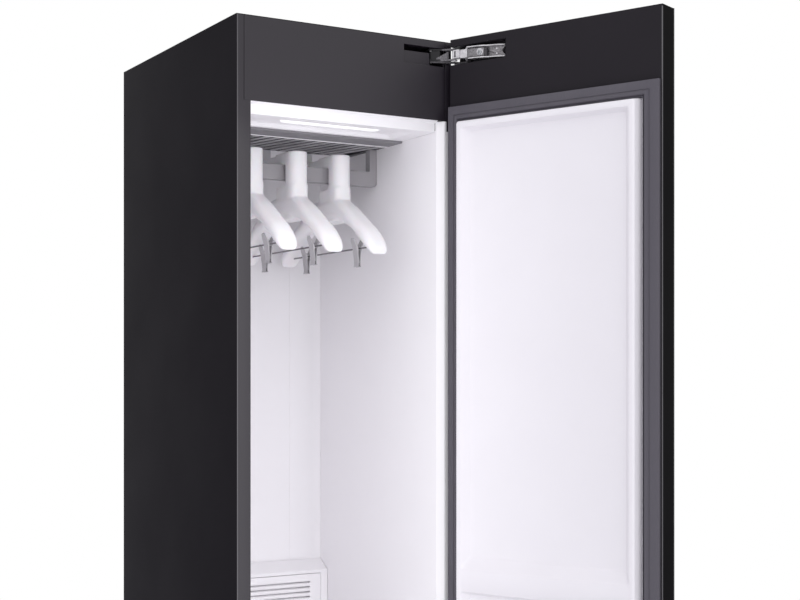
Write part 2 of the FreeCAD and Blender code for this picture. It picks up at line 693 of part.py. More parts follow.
def liner_ceiling():
    """Ceiling with a front lip, a shallow lamp trough, the grille's hole and three nozzle holes."""
    half = CAVITY_HALF + LINER_WALL
    sheet = box(-half, half, back_from_front(CEILING_LIP_SETBACK), CAVITY_BACK + LINER_WALL,
                CEILING, LINER_TOP_FACE)
    front = back_from_front(FACIA_WALL)
    edge = back_from_front(CEILING_LIP_SETBACK)
    lip_top = OPENING_TOP + FACIA_WALL
    lip = prism_along_x([(front, lip_top), (front, OPENING_TOP + FIT_GAP),
                         (edge, OPENING_TOP - CEILING_LIP_SLOPE), (edge, CEILING),
                         (edge + LINER_WALL, CEILING), (edge + LINER_WALL, lip_top)],
                        -CAVITY_HALF, CAVITY_HALF)
    mouth = (-TROUGH_HALF, TROUGH_HALF, back_from_front(TROUGH_FRONT), back_from_front(TROUGH_BACK))
    roof = (-TROUGH_HALF + TROUGH_SLOPE, TROUGH_HALF - TROUGH_SLOPE,
            back_from_front(TROUGH_FRONT + TROUGH_SLOPE / 2),
            back_from_front(TROUGH_BACK - TROUGH_SLOPE / 2))
    grown_mouth = grow(mouth, LINER_WALL)
    grown_roof = grow(roof, LINER_WALL)
    pan = frustum_z(grown_mouth, CEILING, grown_roof, LINER_TOP_FACE + TROUGH_DEPTH)
    trough = frustum_z(mouth, CEILING, roof, CEILING + TROUGH_DEPTH)
    hole_half = CAVITY_HALF - GRILLE_MARGIN
    grille_hole = box(-hole_half, hole_half, back_from_front(GRILLE_FRONT + GRILLE_PLATE),
                      back_from_front(GRILLE_BACK - GRILLE_PLATE), CEILING - SHEET,
                      LINER_TOP_FACE + SHEET)
    ceiling = fuse([sheet, lip, pan])
    save("liner_ceiling", cut_all(ceiling, [trough, grille_hole] + nozzle_holes()))


def grow(rect, by):
    x0, x1, y0, y1 = rect
    return (x0 - by, x1 + by, y0 - by, y1 + by)


def steam_outlet_place():
    return 0.0, back_from_front(TANK_LENGTH + STEAM_OUTLET_BEHIND)


def liner_floor():
    """Cavity floor with a raised front sill and a slotted round steam outlet."""
    sheet = box(-CAVITY_HALF - LINER_WALL, CAVITY_HALF + LINER_WALL, FRONT + SHEET,
                CAVITY_BACK + LINER_WALL, CAVITY_FLOOR - LINER_WALL, CAVITY_FLOOR)
    sill = box(-CAVITY_HALF, CAVITY_HALF, FRONT + SHEET, back_from_front(FACIA_RETURN),
               CAVITY_FLOOR, CAVITY_FLOOR + FLOOR_LIP)
    mouth_corner = box(CAVITY_HALF, RIM_END - FIT_GAP, FRONT + SHEET, back_from_front(FACIA_RETURN),
                       CAVITY_FLOOR - LINER_WALL, CAVITY_FLOOR)
    x, y = steam_outlet_place()
    rim = cylinder(STEAM_OUTLET_RADIUS, x, y, CAVITY_FLOOR, FLOOR_LIP)
    slots = []
    for k in range(-2, 3):
        reach = STEAM_OUTLET_RADIUS - 2 * STEAM_SLOT - abs(k) * STEAM_SLOT / 2
        slots.append(box(x - reach, x + reach, y + k * STEAM_SLOT_PITCH - STEAM_SLOT / 2,
                         y + k * STEAM_SLOT_PITCH + STEAM_SLOT / 2,
                         CAVITY_FLOOR - 2 * LINER_WALL, CAVITY_FLOOR + 2 * FLOOR_LIP))
    save("liner_floor", cut_all(fuse([sheet, sill, mouth_corner, rim]), slots))


def wall_insulation():
    """Foam slabs behind the left, right and back liner walls."""
    outer = SKIN_HALF
    inner = CAVITY_HALF + LINER_WALL
    slabs = []
    for side in (-1, 1):
        slabs.append(box(side * inner, side * outer, back_from_front(FACIA_RETURN), CAVITY_BACK,
                         CAVITY_FLOOR, CEILING))
    slabs.append(box(-SKIN_HALF, SKIN_HALF, CAVITY_BACK + LINER_WALL, REAR - SHEET - BOARD_STANDOFF,
                     CAVITY_FLOOR, CEILING))
    save_group("wall_insulation", slabs)


def lamp_lens():
    y = back_from_front(LENS_DEPTH)
    top = CEILING + TROUGH_DEPTH
    lens = rounded_box(-LENS_HALF, LENS_HALF, y - LENS_WIDTH / 2, y + LENS_WIDTH / 2,
                       top - LENS_THICKNESS, top, LENS_WIDTH / 2 - SHEET, 2)
    save("lamp_lens", lens)


# ---------------------------------------------------------------- ceiling grille and rail
def ceiling_grille():
    """Grey grille: a plain front band, then slanted slats in a frame that plugs into the ceiling."""
    half = CAVITY_HALF - FIT_GAP
    front = back_from_front(GRILLE_FRONT)
    back = back_from_front(GRILLE_BACK)
    slats_front = front + GRILLE_BAND
    plate = box(-half, half, front, back, CEILING - GRILLE_PLATE, CEILING)
    band = box(-half, half, front, slats_front, CEILING - GRILLE_PLATE - BAND_PROUD, CEILING)
    hole_half = half - GRILLE_MARGIN - FIT_GAP
    spigot_front = front + GRILLE_PLATE + FIT_GAP
    spigot_back = back - GRILLE_PLATE - FIT_GAP
    spigot = box(-hole_half, hole_half, spigot_front, spigot_back, CEILING - SHEET,
                 CEILING + GRILLE_SPIGOT)
    bore = box(-hole_half + GRILLE_SPIGOT_WALL, hole_half - GRILLE_SPIGOT_WALL,
               spigot_front + GRILLE_SPIGOT_WALL, spigot_back - GRILLE_SPIGOT_WALL,
               CEILING, CEILING + 2 * GRILLE_SPIGOT)
    body = fuse([plate, band, spigot]).cut(bore)
    window_half = hole_half - 2 * GRILLE_SPIGOT_WALL
    window = box(-window_half, window_half, slats_front + FIT_GAP,
                 spigot_back - 2 * GRILLE_SPIGOT_WALL, CEILING - 2 * GRILLE_PLATE,
                 CEILING + GRILLE_PLATE)
    depth = back - slats_front
    lean = depth * math.tan(math.radians(SLAT_ANGLE))
    slots = []
    count = int((2 * half + lean) / SLAT_PITCH) + 1
    for k in range(count):
        x = -half + k * SLAT_PITCH
        slot = prism_along_z([(x, slats_front), (x + SLAT_OPENING, slats_front),
                              (x + SLAT_OPENING - lean, back), (x - lean, back)],
                             CEILING - 2 * GRILLE_PLATE, CEILING + GRILLE_PLATE)
        trimmed = slot.common(window)
        if trimmed.Volume > EPS:
            slots.append(trimmed)
    save("ceiling_grille", body.cut(slots))


def hanging_rail():
    """Flat bar across the cavity with an upright leg at each end that reaches the ceiling grille."""
    half = CAVITY_HALF - FIT_GAP
    y0 = back_from_front(RAIL_FRONT)
    y1 = y0 + RAIL_THICKNESS
    top = CEILING - RAIL_TOP
    bar = box(-half, half, y0, y1, top - RAIL_HEIGHT, top)
    legs = [box(side * (half - RAIL_LEG), side * half, y0, y1, top - RAIL_HEIGHT,
                CEILING - GRILLE_PLATE) for side in (-1, 1)]
    rail = fuse([bar] + legs)
    save("hanging_rail", rail.makeFillet(RAIL_EDGE, edges_along(rail, 0)))


# ---------------------------------------------------------------- nozzles and upper fan
def hanger_places():
    middle = (HANGER_COUNT - 1) / 2
    return [(k - middle) * HANGER_PITCH for k in range(HANGER_COUNT)]


def nozzle_riser_span():
    start = back_from_front(HOOK_REAR + FIT_GAP + NOZZLE_REACH)
    return start, start + NOZZLE_RISER


def hanger_nozzles():
    """Elbow ducts that lead air from the ceiling forward into the back of each hanger."""
    nozzles = []
    y0 = back_from_front(HOOK_REAR + FIT_GAP)
    riser_front, riser_back = nozzle_riser_span()
    low = HOOK_UNDER + (HOOK_WALL - NOZZLE_HEIGHT) / 2
    high = low + NOZZLE_HEIGHT
    w = NOZZLE_WALL
    outline = [(y0, low), (riser_back, low), (riser_back, CEILING), (riser_front, CEILING),
               (riser_front, high), (y0, high)]
    inside = [(y0 - w, low + w), (riser_back - w, low + w), (riser_back - w, CEILING + w),
              (riser_front + w, CEILING + w), (riser_front + w, high - w), (y0 - w, high - w)]
    for x in hanger_places():
        half = NOZZLE_WIDTH / 2
        outer = prism_along_x(outline, x - half, x + half)
        flange = box(x - half - NOZZLE_FLANGE, x + half + NOZZLE_FLANGE,
                     riser_front - NOZZLE_FLANGE, riser_back + NOZZLE_FLANGE,
                     CEILING - NOZZLE_WALL, CEILING)
        hollow = prism_along_x(inside, x - half + w, x + half - w)
        nozzles.append(outer.fuse(flange).cut(hollow).removeSplitter())
    save_group("hanger_nozzles", nozzles)


def air_plenum():
    """Box on the ceiling: air rises through the grille, the fan pushes it back to the nozzles."""
    front = back_from_front(TROUGH_BACK + LINER_WALL + FIT_GAP)
    rear = CAVITY_BACK - PLENUM_REAR_GAP
    wall = LINER_WALL
    top = LINER_TOP_FACE + PLENUM_HEIGHT
    outer = box(-PLENUM_HALF, PLENUM_HALF, front, rear, LINER_TOP_FACE, top)
    inner = box(-PLENUM_HALF + wall, PLENUM_HALF - wall, front + wall, rear - wall,
                LINER_TOP_FACE - wall, top - wall)
    baffle_level = LINER_TOP_FACE + BAFFLE_RISE
    split = back_from_front(GRILLE_BACK)
    baffle = box(-PLENUM_HALF + wall, PLENUM_HALF - wall, front + wall, split, baffle_level,
                 baffle_level + wall)
    fence = box(-PLENUM_HALF + wall, PLENUM_HALF - wall, split, split + wall, LINER_TOP_FACE,
                baffle_level + wall)
    axis_y = back_from_front(FAN_DEPTH)
    inlet = cylinder(FAN_INLET_RADIUS, 0, axis_y, baffle_level - wall, 3 * wall)
    shaft_hole = cylinder(FAN_SHAFT_RADIUS + FAN_GAP, 0, axis_y, top - 2 * wall, 3 * wall)
    shell = fuse([outer.cut(inner), baffle, fence])
    save("air_plenum", cut_all(shell, [inlet, shaft_hole]))


def upper_fan_level():
    return LINER_TOP_FACE + BAFFLE_RISE + LINER_WALL + FAN_GAP


def fan_wheel(radius, height, blades, blade_length, lean, hub_radius, bore):
    """Bladed wheel on the Z axis with a full top disc, a ring below and a bored hub."""
    top = cylinder(radius, 0, 0, height - FAN_DISC, FAN_DISC)
    bottom = ring(radius, radius - blade_length, 0, 0, 0, FAN_DISC)
    hub = cylinder(hub_radius, 0, 0, 0, height)
    pieces = [top, bottom, hub]
    for k in range(blades):
        blade = box(radius - blade_length, radius - FAN_BLADE, -FAN_BLADE / 2, FAN_BLADE / 2,
                    FAN_DISC / 2, height - FAN_DISC / 2)
        middle = FreeCAD.Vector(radius - blade_length / 2, 0, 0)
        blade.rotate(middle, FreeCAD.Vector(0, 0, 1), lean)
        blade.rotate(FreeCAD.Vector(0, 0, 0), FreeCAD.Vector(0, 0, 1), 360.0 * k / blades)
        pieces.append(blade)
    wheel = fuse(pieces).common(cylinder(radius, 0, 0, 0, height))
    return wheel.cut(cylinder(bore, 0, 0, -height, 3 * height))


def upper_fan():
    """Centrifugal wheel inside the plenum and the motor that stands on the plenum."""
    y = back_from_front(FAN_DEPTH)
    level = upper_fan_level()
    wheel = fan_wheel(FAN_RADIUS, FAN_HEIGHT, FAN_BLADES, FAN_BLADE_LENGTH, FAN_BLADE_LEAN,
                      FAN_HUB_RADIUS, FAN_SHAFT_RADIUS + SHAFT_GAP)
    wheel.translate(FreeCAD.Vector(0, y, level))
    save("upper_fan_wheel", wheel)
    base = LINER_TOP_FACE + PLENUM_HEIGHT
    can = cylinder(MOTOR_RADIUS, 0, y, base, MOTOR_HEIGHT)
    can = can.makeFillet(LINER_WALL, [can.Edges[0]])
    shaft = cylinder(FAN_SHAFT_RADIUS, 0, y, level, base - level + SHEET)
    save("upper_fan_motor", fuse([can, shaft]))


# ---------------------------------------------------------------- hangers and clips
def arm_sections(inset):
    """Stations from the front tip to the rear tip as (y, z, half height, half width).

    Each row gives the share of the arm's half length, its top and its underside as shares of the
    arm's fall below the hub's top, and the share of its full width.
    """
    outward = [(0.00, 0.025, 0.448, 1.00), (0.24, 0.058, 0.448, 1.00), (0.37, 0.217, 0.493, 1.00),
               (0.46, 0.290, 0.545, 1.00), (0.62, 0.455, 0.643, 1.00), (0.72, 0.552, 0.755, 1.00),
               (0.82, 0.650, 0.853, 1.00), (0.92, 0.804, 0.944, 0.98), (0.97, 0.880, 0.988, 0.93),
               (1.00, 0.940, 1.000, 0.82)]
    hub_top = HOOK_TOP - HUB_DROP
    stations = []
    for share, upper, lower, broad in outward:
        half_height = (lower - upper) * ARM_FALL / 2 - inset
        half_width = broad * ARM_WIDTH / 2 - inset
        if half_height > inset:
            middle = hub_top - (upper + lower) * ARM_FALL / 2
            stations.append((share * ARM_HALF, middle, half_height, half_width))
    centre = back_from_front(RAIL_MIDDLE)
    front = [(centre - out, z, height, width) for out, z, height, width in stations[:0:-1]]
    rear = [(centre + out, z, height, width) for out, z, height, width in stations]
    return front + rear


def arm_wire(x, y, z, half_height, half_width):
    """Closed curve across the arm, an oval squared towards a rectangle."""
    points = []
    power = 2.0 / ARM_SQUARENESS
    for k in range(16):
        angle = math.radians(22.5 * k)
        across = math.copysign(abs(math.cos(angle)) ** power, math.cos(angle))
        up = math.copysign(abs(math.sin(angle)) ** power, math.sin(angle))
        points.append(FreeCAD.Vector(x + half_width * across, y, z + half_height * up))
    curve = Part.BSplineCurve()
    curve.interpolate(points, PeriodicFlag=True)
    return Part.Wire(curve.toShape())


def hanger_arms(x, inset):
    wires = [arm_wire(x, *section) for section in arm_sections(inset)]
    return Part.makeLoft(wires, True, False)


def hanger_neck(x, inset):
    """Neck ahead of the rail and the hub that joins it below the rail."""
    half = NECK_WIDTH / 2 - inset
    front = back_from_front(RAIL_FRONT - NECK_FRONT) + inset
    low = HOOK_TOP - HUB_BOTTOM + inset
    neck = rounded_box(x - half, x + half, front, back_from_front(RAIL_FRONT - HOOK_LIP_GAP) - inset,
                       low, HOOK_TOP - inset, NECK_ROUND - inset, 2)
    hub = rounded_box(x - half, x + half, front, back_from_front(HOOK_REAR) - inset, low,
                      HOOK_TOP - HUB_DROP - inset, NECK_ROUND - inset, 2)
    return neck.fuse(hub)


def hanger_shell(x):
    """Hollow hanger: neck ahead of the rail, air bridge and lip over it, hub and two arms."""
    neck_y = back_from_front(RAIL_FRONT - NECK_FRONT / 2)
    rear = back_from_front(HOOK_REAR)
    half = NECK_WIDTH / 2
    bridge = rounded_box(x - half, x + half, neck_y, rear, HOOK_UNDER, HOOK_TOP, DUCT_WALL, 1)
    lip = box(x - half + DUCT_WALL, x + half - DUCT_WALL,
              back_from_front(RAIL_FRONT + RAIL_THICKNESS + HOOK_LIP_GAP), rear,
              HOOK_UNDER - HOOK_LIP, HOOK_UNDER + DUCT_WALL)
    body = fuse([hanger_neck(x, 0.0), bridge, lip]).fuse(hanger_arms(x, 0.0))
    mouth = box(x - half + DUCT_WALL, x + half - DUCT_WALL, neck_y, rear + SHEET,
                HOOK_UNDER + DUCT_WALL, HOOK_TOP - DUCT_WALL)
    return body.cut(hanger_arms(x, ARM_WALL)).cut(hanger_neck(x, DUCT_WALL)).cut(mouth)


def wire_span():
    front = back_from_front(RAIL_MIDDLE - ARM_HALF + WIRE_END)
    rear = back_from_front(RAIL_MIDDLE + ARM_HALF - WIRE_END)
    return front, rear


def hangers():
    """Hangers, each with a steel trouser wire moulded in between its arms."""
    front, rear = wire_span()
    places = hanger_places()
    wire = cylinder(WIRE_RADIUS, places[0], front, WIRE_HEIGHT, rear - front, (0, 1, 0))
    shell = hanger_shell(places[0]).cut(wire)
    for k, x in enumerate(places):
        shift = FreeCAD.Vector(x - places[0], 0, 0)
        pieces = [shell.copy(), wire.copy()]
        for piece in pieces:
            piece.translate(shift)
        save_group("hanger_%d" % (k + 1), pieces)


def clip_leg(side):
    """One leg of a clip about the wire at the origin: handle above, jaw below, on one X side."""
    outer = CLIP_SPREAD
    waist = CLIP_WAIST
    jaw = CLIP_JAW_GAP / 2
    profile = [(side * (outer - CLIP_LEG), CLIP_TOP), (side * outer, CLIP_TOP),
               (side * (waist + CLIP_LEG), 0.0), (side * (jaw + CLIP_LEG), -CLIP_BOTTOM),
               (side * jaw, -CLIP_BOTTOM), (side * jaw, -CLIP_BOTTOM + 4 * CLIP_LEG),
               (side * waist, 0.0)]
    plate = prism_along_y(profile, -CLIP_WIDTH / 2, CLIP_WIDTH / 2)
    first = CLIP_WIDTH / 2 - CLIP_KNUCKLE if side < 0 else CLIP_WIDTH / 2 - 2 * CLIP_KNUCKLE - FIT_GAP
    knuckles = []
    for end in (-1, 1):
        y0 = end * first
        y1 = end * (first + CLIP_KNUCKLE)
        barrel = cylinder(CLIP_BARREL, 0, min(y0, y1), 0, CLIP_KNUCKLE, (0, 1, 0))
        web = box(0, side * (waist + CLIP_LEG / 2), y0, y1, -CLIP_LEG, CLIP_LEG)
        knuckles.append(barrel.fuse(web))
    leg = fuse([plate] + knuckles)
    bore = cylinder(WIRE_RADIUS + SHAFT_GAP, 0, -CLIP_WIDTH, 0, 2 * CLIP_WIDTH, (0, 1, 0))
    return leg.cut(bore)


def clip_spring():
    """Wound spring between the knuckles, drawn as its outer sleeve."""
    half_length = CLIP_WIDTH / 2 - 2 * CLIP_KNUCKLE - 2 * FIT_GAP
    return ring(SPRING_RADIUS, SPRING_RADIUS - SPRING_WIRE, 0, -half_length, 0,
                2 * half_length, (0, 1, 0))


def clip_places():
    """Clip centres along one wire, front then rear."""
    front, rear = wire_span()
    middle = (front + rear) / 2
    return [("front", middle - CLIP_OFFSET), ("rear", middle + CLIP_OFFSET)]


def clips():
    fixed = clip_leg(-1)
    moving = clip_leg(1)
    spring = clip_spring()
    for k, x in enumerate(hanger_places()):
        for end, y in clip_places():
            place = FreeCAD.Vector(x, y, WIRE_HEIGHT)
            copies = [fixed.copy(), spring.copy(), moving.copy()]
            for piece in copies:
                piece.translate(place)
            save_group("clip_%d_%s_leg" % (k + 1, end), copies[:2])
            save("clip_%d_%s_jaw" % (k + 1, end), copies[2])


# ---------------------------------------------------------------- louvre box and lint filter
def louvre_box():
    """White housing in the lower back corner with a bevelled top and a window for the filter."""
    half = CAVITY_HALF - FIT_GAP
    front = CAVITY_BACK - BOX_DEPTH
    wall = LINER_WALL
    outline = [(front, CAVITY_FLOOR), (CAVITY_BACK, CAVITY_FLOOR), (CAVITY_BACK, BOX_TOP + BOX_BEVEL),
               (front, BOX_TOP)]
    inside = [(front + wall, CAVITY_FLOOR - wall), (CAVITY_BACK + wall, CAVITY_FLOOR - wall),
              (CAVITY_BACK + wall, BOX_TOP + BOX_BEVEL - wall),
              (front + wall, BOX_TOP - 2 * wall)]
    shell = prism_along_x(outline, -half, half).cut(
        prism_along_x(inside, -half + wall, half - wall))
    window = box(-FILTER_HALF, FILTER_HALF, front - wall, front + 2 * wall,
                 FILTER_BOTTOM, FILTER_TOP)
    seat_y = front + FILTER_THICKNESS + FIT_GAP
    seat = box(-FILTER_HALF - wall, FILTER_HALF + wall, front, seat_y + wall,
               FILTER_BOTTOM - wall, FILTER_TOP + wall)
    channel = box(-FILTER_HALF, FILTER_HALF, front - wall, seat_y, FILTER_BOTTOM, FILTER_TOP)
    passage = box(-FILTER_HALF + SEAT_RIM, FILTER_HALF - SEAT_RIM, front - wall, seat_y + 2 * wall,
                  FILTER_BOTTOM + SEAT_RIM, FILTER_TOP - SEAT_RIM)
    box_shell = shell.cut(window).fuse(seat.cut([channel, passage])).removeSplitter()
    save("rear_louvre_cover", box_shell)


def lint_filter():
    """Pull-out cassette: louvred front, rim and a fine mesh sheet at the back."""
    gap = SLIDE_GAP
    front = CAVITY_BACK - BOX_DEPTH
    x = FILTER_HALF - gap
    z0 = FILTER_BOTTOM + gap
    z1 = FILTER_TOP - gap
    outer = box(-x, x, front, front + FILTER_THICKNESS, z0, z1)
    hollow = box(-x + FILTER_RIM, x - FILTER_RIM, front + FILTER_FRAME,
                 front + FILTER_THICKNESS - FILTER_MESH, z0 + FILTER_RIM, z1 - FILTER_RIM)
    slots = []
    top = z1 - LOUVRE_TOP_MARGIN
    count = int((top - z0 - LOUVRE_TOP_MARGIN) / LOUVRE_PITCH)
    for k in range(count):
        z = top - k * LOUVRE_PITCH
        drop = LOUVRE_OPENING / 2
        slots.append(prism_along_x([(front - SHEET, z - LOUVRE_OPENING - drop), (front - SHEET, z - drop),
                                    (front + 2 * FILTER_FRAME, z + drop),
                                    (front + 2 * FILTER_FRAME, z - LOUVRE_OPENING + drop)],
                                   -LOUVRE_HALF, LOUVRE_HALF))
    save("lint_filter", outer.cut([hollow] + slots))


# ---------------------------------------------------------------- tanks
def tank_body(x0, x1):
    """Tank shell with a scooped grip in its face and a threaded neck on top."""
    y0 = FRONT
    y1 = FRONT + TANK_LENGTH
    z0 = TANK_SHELF + FIT_GAP
    z1 = TANK_SHELF + TANK_HEIGHT + FIT_GAP
    outer = rounded_box(x0, x1, y0, y1, z0, z1 - TANK_NECK_HEIGHT - CAP_HEIGHT, TANK_WALL, 1)
    face = box(x0, x1, y0, y0 + TANK_WALL, z0, z1)
    middle = (x0 + x1) / 2
    grip_top = z1 - TANK_NECK_HEIGHT - CAP_HEIGHT - TANK_GRIP_DROP
    grip = (middle - TANK_GRIP_WIDTH / 2, middle + TANK_GRIP_WIDTH / 2, y0 - SHEET,
            y0 + TANK_GRIP_DEPTH, grip_top - TANK_GRIP_HEIGHT, grip_top)
    scoop = box(*grip)
    scoop_wall = box(grip[0] - TANK_WALL, grip[1] + TANK_WALL, y0, grip[3] + TANK_WALL,
                     grip[4] - TANK_WALL, grip[5] + TANK_WALL)
    inner = box(x0 + TANK_WALL, x1 - TANK_WALL, y0 + TANK_WALL, y1 - TANK_WALL, z0 + TANK_WALL,
                z1 - TANK_NECK_HEIGHT - CAP_HEIGHT - TANK_WALL)
    deck = z1 - TANK_NECK_HEIGHT - CAP_HEIGHT
    neck_y = y0 + TANK_NECK_DEPTH
    neck = cylinder(TANK_NECK_RADIUS, middle, neck_y, deck - TANK_WALL, TANK_NECK_HEIGHT + TANK_WALL)
    bore = cylinder(TANK_NECK_RADIUS - TANK_WALL, middle, neck_y, deck - 2 * TANK_WALL,
                    TANK_NECK_HEIGHT + 3 * TANK_WALL)
    shell = fuse([outer.cut(inner), face, scoop_wall, neck])
    return cut_all(shell, [scoop, bore])


def tank_cap(middle):
    """Screw cap over the tank's neck, with a raised cross grip."""
    top = TANK_SHELF + TANK_HEIGHT + FIT_GAP
    deck = top - TANK_NECK_HEIGHT - CAP_HEIGHT
    radius = TANK_NECK_RADIUS + SHAFT_GAP + CAP_WALL
    y = FRONT + TANK_NECK_DEPTH
    cap = cylinder(radius, middle, y, deck + FIT_GAP, TANK_NECK_HEIGHT + CAP_WALL)
    hollow = cylinder(TANK_NECK_RADIUS + SHAFT_GAP, middle, y, deck + FIT_GAP - SHEET,
                      TANK_NECK_HEIGHT + SHEET)
    level = deck + FIT_GAP + TANK_NECK_HEIGHT + CAP_WALL - SHEET
    bar = box(middle - radius + CAP_WALL, middle + radius - CAP_WALL, y - CAP_GRIP / 2,
              y + CAP_GRIP / 2, level, level + CAP_GRIP)
    return fuse([cap.cut(hollow), bar])


def tanks():
    for name, (x0, x1) in zip(("water_tank", "drain_tank"), tank_spans()):
        a = x0 + SLIDE_GAP
        b = x1 - SLIDE_GAP
        save(name, tank_body(a, b))
        save(name + "_cap", tank_cap((a + b) / 2))


# ---------------------------------------------------------------- machine space
def heat_exchangers():
    """Evaporator and condenser of the heat pump: finned blocks on the tray."""
    x1 = -EXCHANGER_GAP
    x0 = x1 - EXCHANGER_WIDTH
    blocks = []
    for k in range(2):
        y0 = back_from_front(TANK_LENGTH + EXCHANGER_BEHIND) + k * (EXCHANGER_DEPTH + EXCHANGER_GAP)
        y1 = y0 + EXCHANGER_DEPTH
        block = box(x0, x1, y0, y1, TRAY_FLOOR, TRAY_FLOOR + EXCHANGER_HEIGHT)
        pitch = EXCHANGER_WIDTH / EXCHANGER_FINS
        fins = []
        for n in range(EXCHANGER_FINS):
            x = x0 + (n + 1 / 2) * pitch
            for start, end in ((y0 - SHEET, y0 + EXCHANGER_FIN_DEPTH), (y1 - EXCHANGER_FIN_DEPTH, y1 + SHEET)):
                fins.append(box(x - EXCHANGER_FIN_GAP / 2, x + EXCHANGER_FIN_GAP / 2, start, end,
                                TRAY_FLOOR + EXCHANGER_GAP, TRAY_FLOOR + EXCHANGER_HEIGHT + SHEET))
        blocks.append(block.cut(fins))
    save_group("heat_exchangers", blocks)


def compressor():
    """Upright hermetic compressor on a foot plate with three rubber feet."""
    x = -SKIN_HALF / 2
    y = REAR - BACK_WALL / 2 - COMPRESSOR_RADIUS
    plate_level = TRAY_FLOOR + COMPRESSOR_FOOT
    body = cylinder(COMPRESSOR_RADIUS, x, y, plate_level, COMPRESSOR_HEIGHT)
    body = body.makeFillet(COMPRESSOR_DOME, [body.Edges[0]])
    feet = []
    arms = []
    for k in range(3):
        turn = math.radians(90 + 120 * k)
        reach = COMPRESSOR_RADIUS + COMPRESSOR_FOOT_RADIUS / 2
        fx = x + reach * math.cos(turn)
        fy = y + reach * math.sin(turn)
        feet.append(cylinder(COMPRESSOR_FOOT_RADIUS, fx, fy, TRAY_FLOOR, COMPRESSOR_FOOT))
        arms.append(stadium(x, y, fx, fy, COMPRESSOR_FOOT_RADIUS, plate_level,
                            plate_level + COMPRESSOR_PLATE))
    save("compressor", fuse([body] + arms + feet))


def steam_generator():
    """Boiler box on four legs, with a pipe that rises to the steam outlet in the cavity floor."""
    pipe_x, pipe_y = steam_outlet_place()
    x0 = pipe_x + EXCHANGER_GAP
    y0 = pipe_y - BOILER_DEPTH / 2
    base = TRAY_FLOOR + BOILER_LEG
    boiler = rounded_box(x0, x0 + BOILER_WIDTH, y0, y0 + BOILER_DEPTH, base, base + BOILER_HEIGHT,
                         BOILER_LEG_SIZE, 2)
    legs = []
    for x in (x0 + BOILER_LEG_SIZE, x0 + BOILER_WIDTH - 2 * BOILER_LEG_SIZE):
        for y in (y0 + BOILER_LEG_SIZE, y0 + BOILER_DEPTH - 2 * BOILER_LEG_SIZE):
            legs.append(box(x, x + BOILER_LEG_SIZE, y, y + BOILER_LEG_SIZE, TRAY_FLOOR, base + SHEET))
    rise = base + BOILER_HEIGHT
    stub_x = x0 + BOILER_LEG_SIZE + STEAM_PIPE_RADIUS
    riser = cylinder(STEAM_PIPE_RADIUS, stub_x, pipe_y, rise - SHEET,
                     CAVITY_FLOOR - LINER_WALL - rise + SHEET)
    chamber = cylinder(STEAM_OUTLET_RADIUS, pipe_x, pipe_y,
                       CAVITY_FLOOR - LINER_WALL - 2 * STEAM_PIPE_RADIUS, 2 * STEAM_PIPE_RADIUS)
    hollow = cylinder(STEAM_OUTLET_RADIUS - LINER_WALL, pipe_x, pipe_y,
                      CAVITY_FLOOR - LINER_WALL - 2 * STEAM_PIPE_RADIUS + LINER_WALL,
                      2 * STEAM_PIPE_RADIUS)
    save("steam_generator", fuse([boiler] + legs + [riser, chamber.cut(hollow)]))


def blower_place():
    return SKIN_HALF / 2, REAR - BACK_WALL / 2 - BLOWER_RADIUS


def circulation_fan():
    """Round blower casing on the tray and its bladed wheel on a short shaft."""
    x, y = blower_place()
    wall = BLOWER_WALL
    casing = cylinder(BLOWER_RADIUS, x, y, TRAY_FLOOR, BLOWER_HEIGHT)
    spout = box(x, x + BLOWER_RADIUS, y - BLOWER_RADIUS - wall, y, TRAY_FLOOR,
                TRAY_FLOOR + BLOWER_HEIGHT)
    hollow = cylinder(BLOWER_RADIUS - wall, x, y, TRAY_FLOOR + wall, BLOWER_HEIGHT - 2 * wall)
    spout_hollow = box(x + wall, x + BLOWER_RADIUS - wall, y - 2 * BLOWER_RADIUS, y,
                       TRAY_FLOOR + wall, TRAY_FLOOR + BLOWER_HEIGHT - wall)
    inlet = cylinder(BLOWER_INLET_RADIUS, x, y, TRAY_FLOOR + BLOWER_HEIGHT - 2 * wall, 4 * wall)
    shaft = cylinder(BLOWER_SHAFT_RADIUS, x, y, TRAY_FLOOR, BLOWER_HEIGHT - 2 * wall)
    housing = cut_all(fuse([casing, spout]), [hollow, spout_hollow, inlet])
    save("circulation_fan_housing", fuse([housing, shaft]))
    wheel = fan_wheel(BLOWER_WHEEL_RADIUS, BLOWER_WHEEL_HEIGHT, FAN_BLADES, FAN_BLADE_LENGTH / 2,
                      FAN_BLADE_LEAN, FAN_HUB_RADIUS, BLOWER_SHAFT_RADIUS + SHAFT_GAP)
    wheel.translate(FreeCAD.Vector(x, y, TRAY_FLOOR + wall + FAN_GAP))
    save("circulation_fan_wheel", wheel)


def control_board():
    """Circuit board on four standoffs inside the rear panel, behind the header."""
    face = REAR - SHEET
    board_y = face - BOARD_STANDOFF
    z0 = LINER_TOP_FACE + BOARD_STANDOFF
    x0 = -BOARD_WIDTH / 2
    board = box(x0, -x0, board_y - BOARD_SHEET, board_y, z0, z0 + BOARD_HEIGHT)
    posts = []
    for x in (x0 + BOARD_STANDOFF, -x0 - BOARD_STANDOFF):
        for z in (z0 + BOARD_STANDOFF, z0 + BOARD_HEIGHT - BOARD_STANDOFF):
            posts.append(cylinder(BOARD_STANDOFF_RADIUS, x, board_y, z, BOARD_STANDOFF, (0, 1, 0)))
    chips = []
    for k in range(4):
        x = x0 + BOARD_WIDTH * (k + 1 / 2) / 4
        chips.append(box(x - CHIP_HEIGHT, x + CHIP_HEIGHT / 2, board_y - BOARD_SHEET - CHIP_HEIGHT,
                         board_y - BOARD_SHEET, z0 + CHIP_HEIGHT, z0 + (2 + k) * CHIP_HEIGHT))
    save("control_board", fuse([board] + posts + chips))


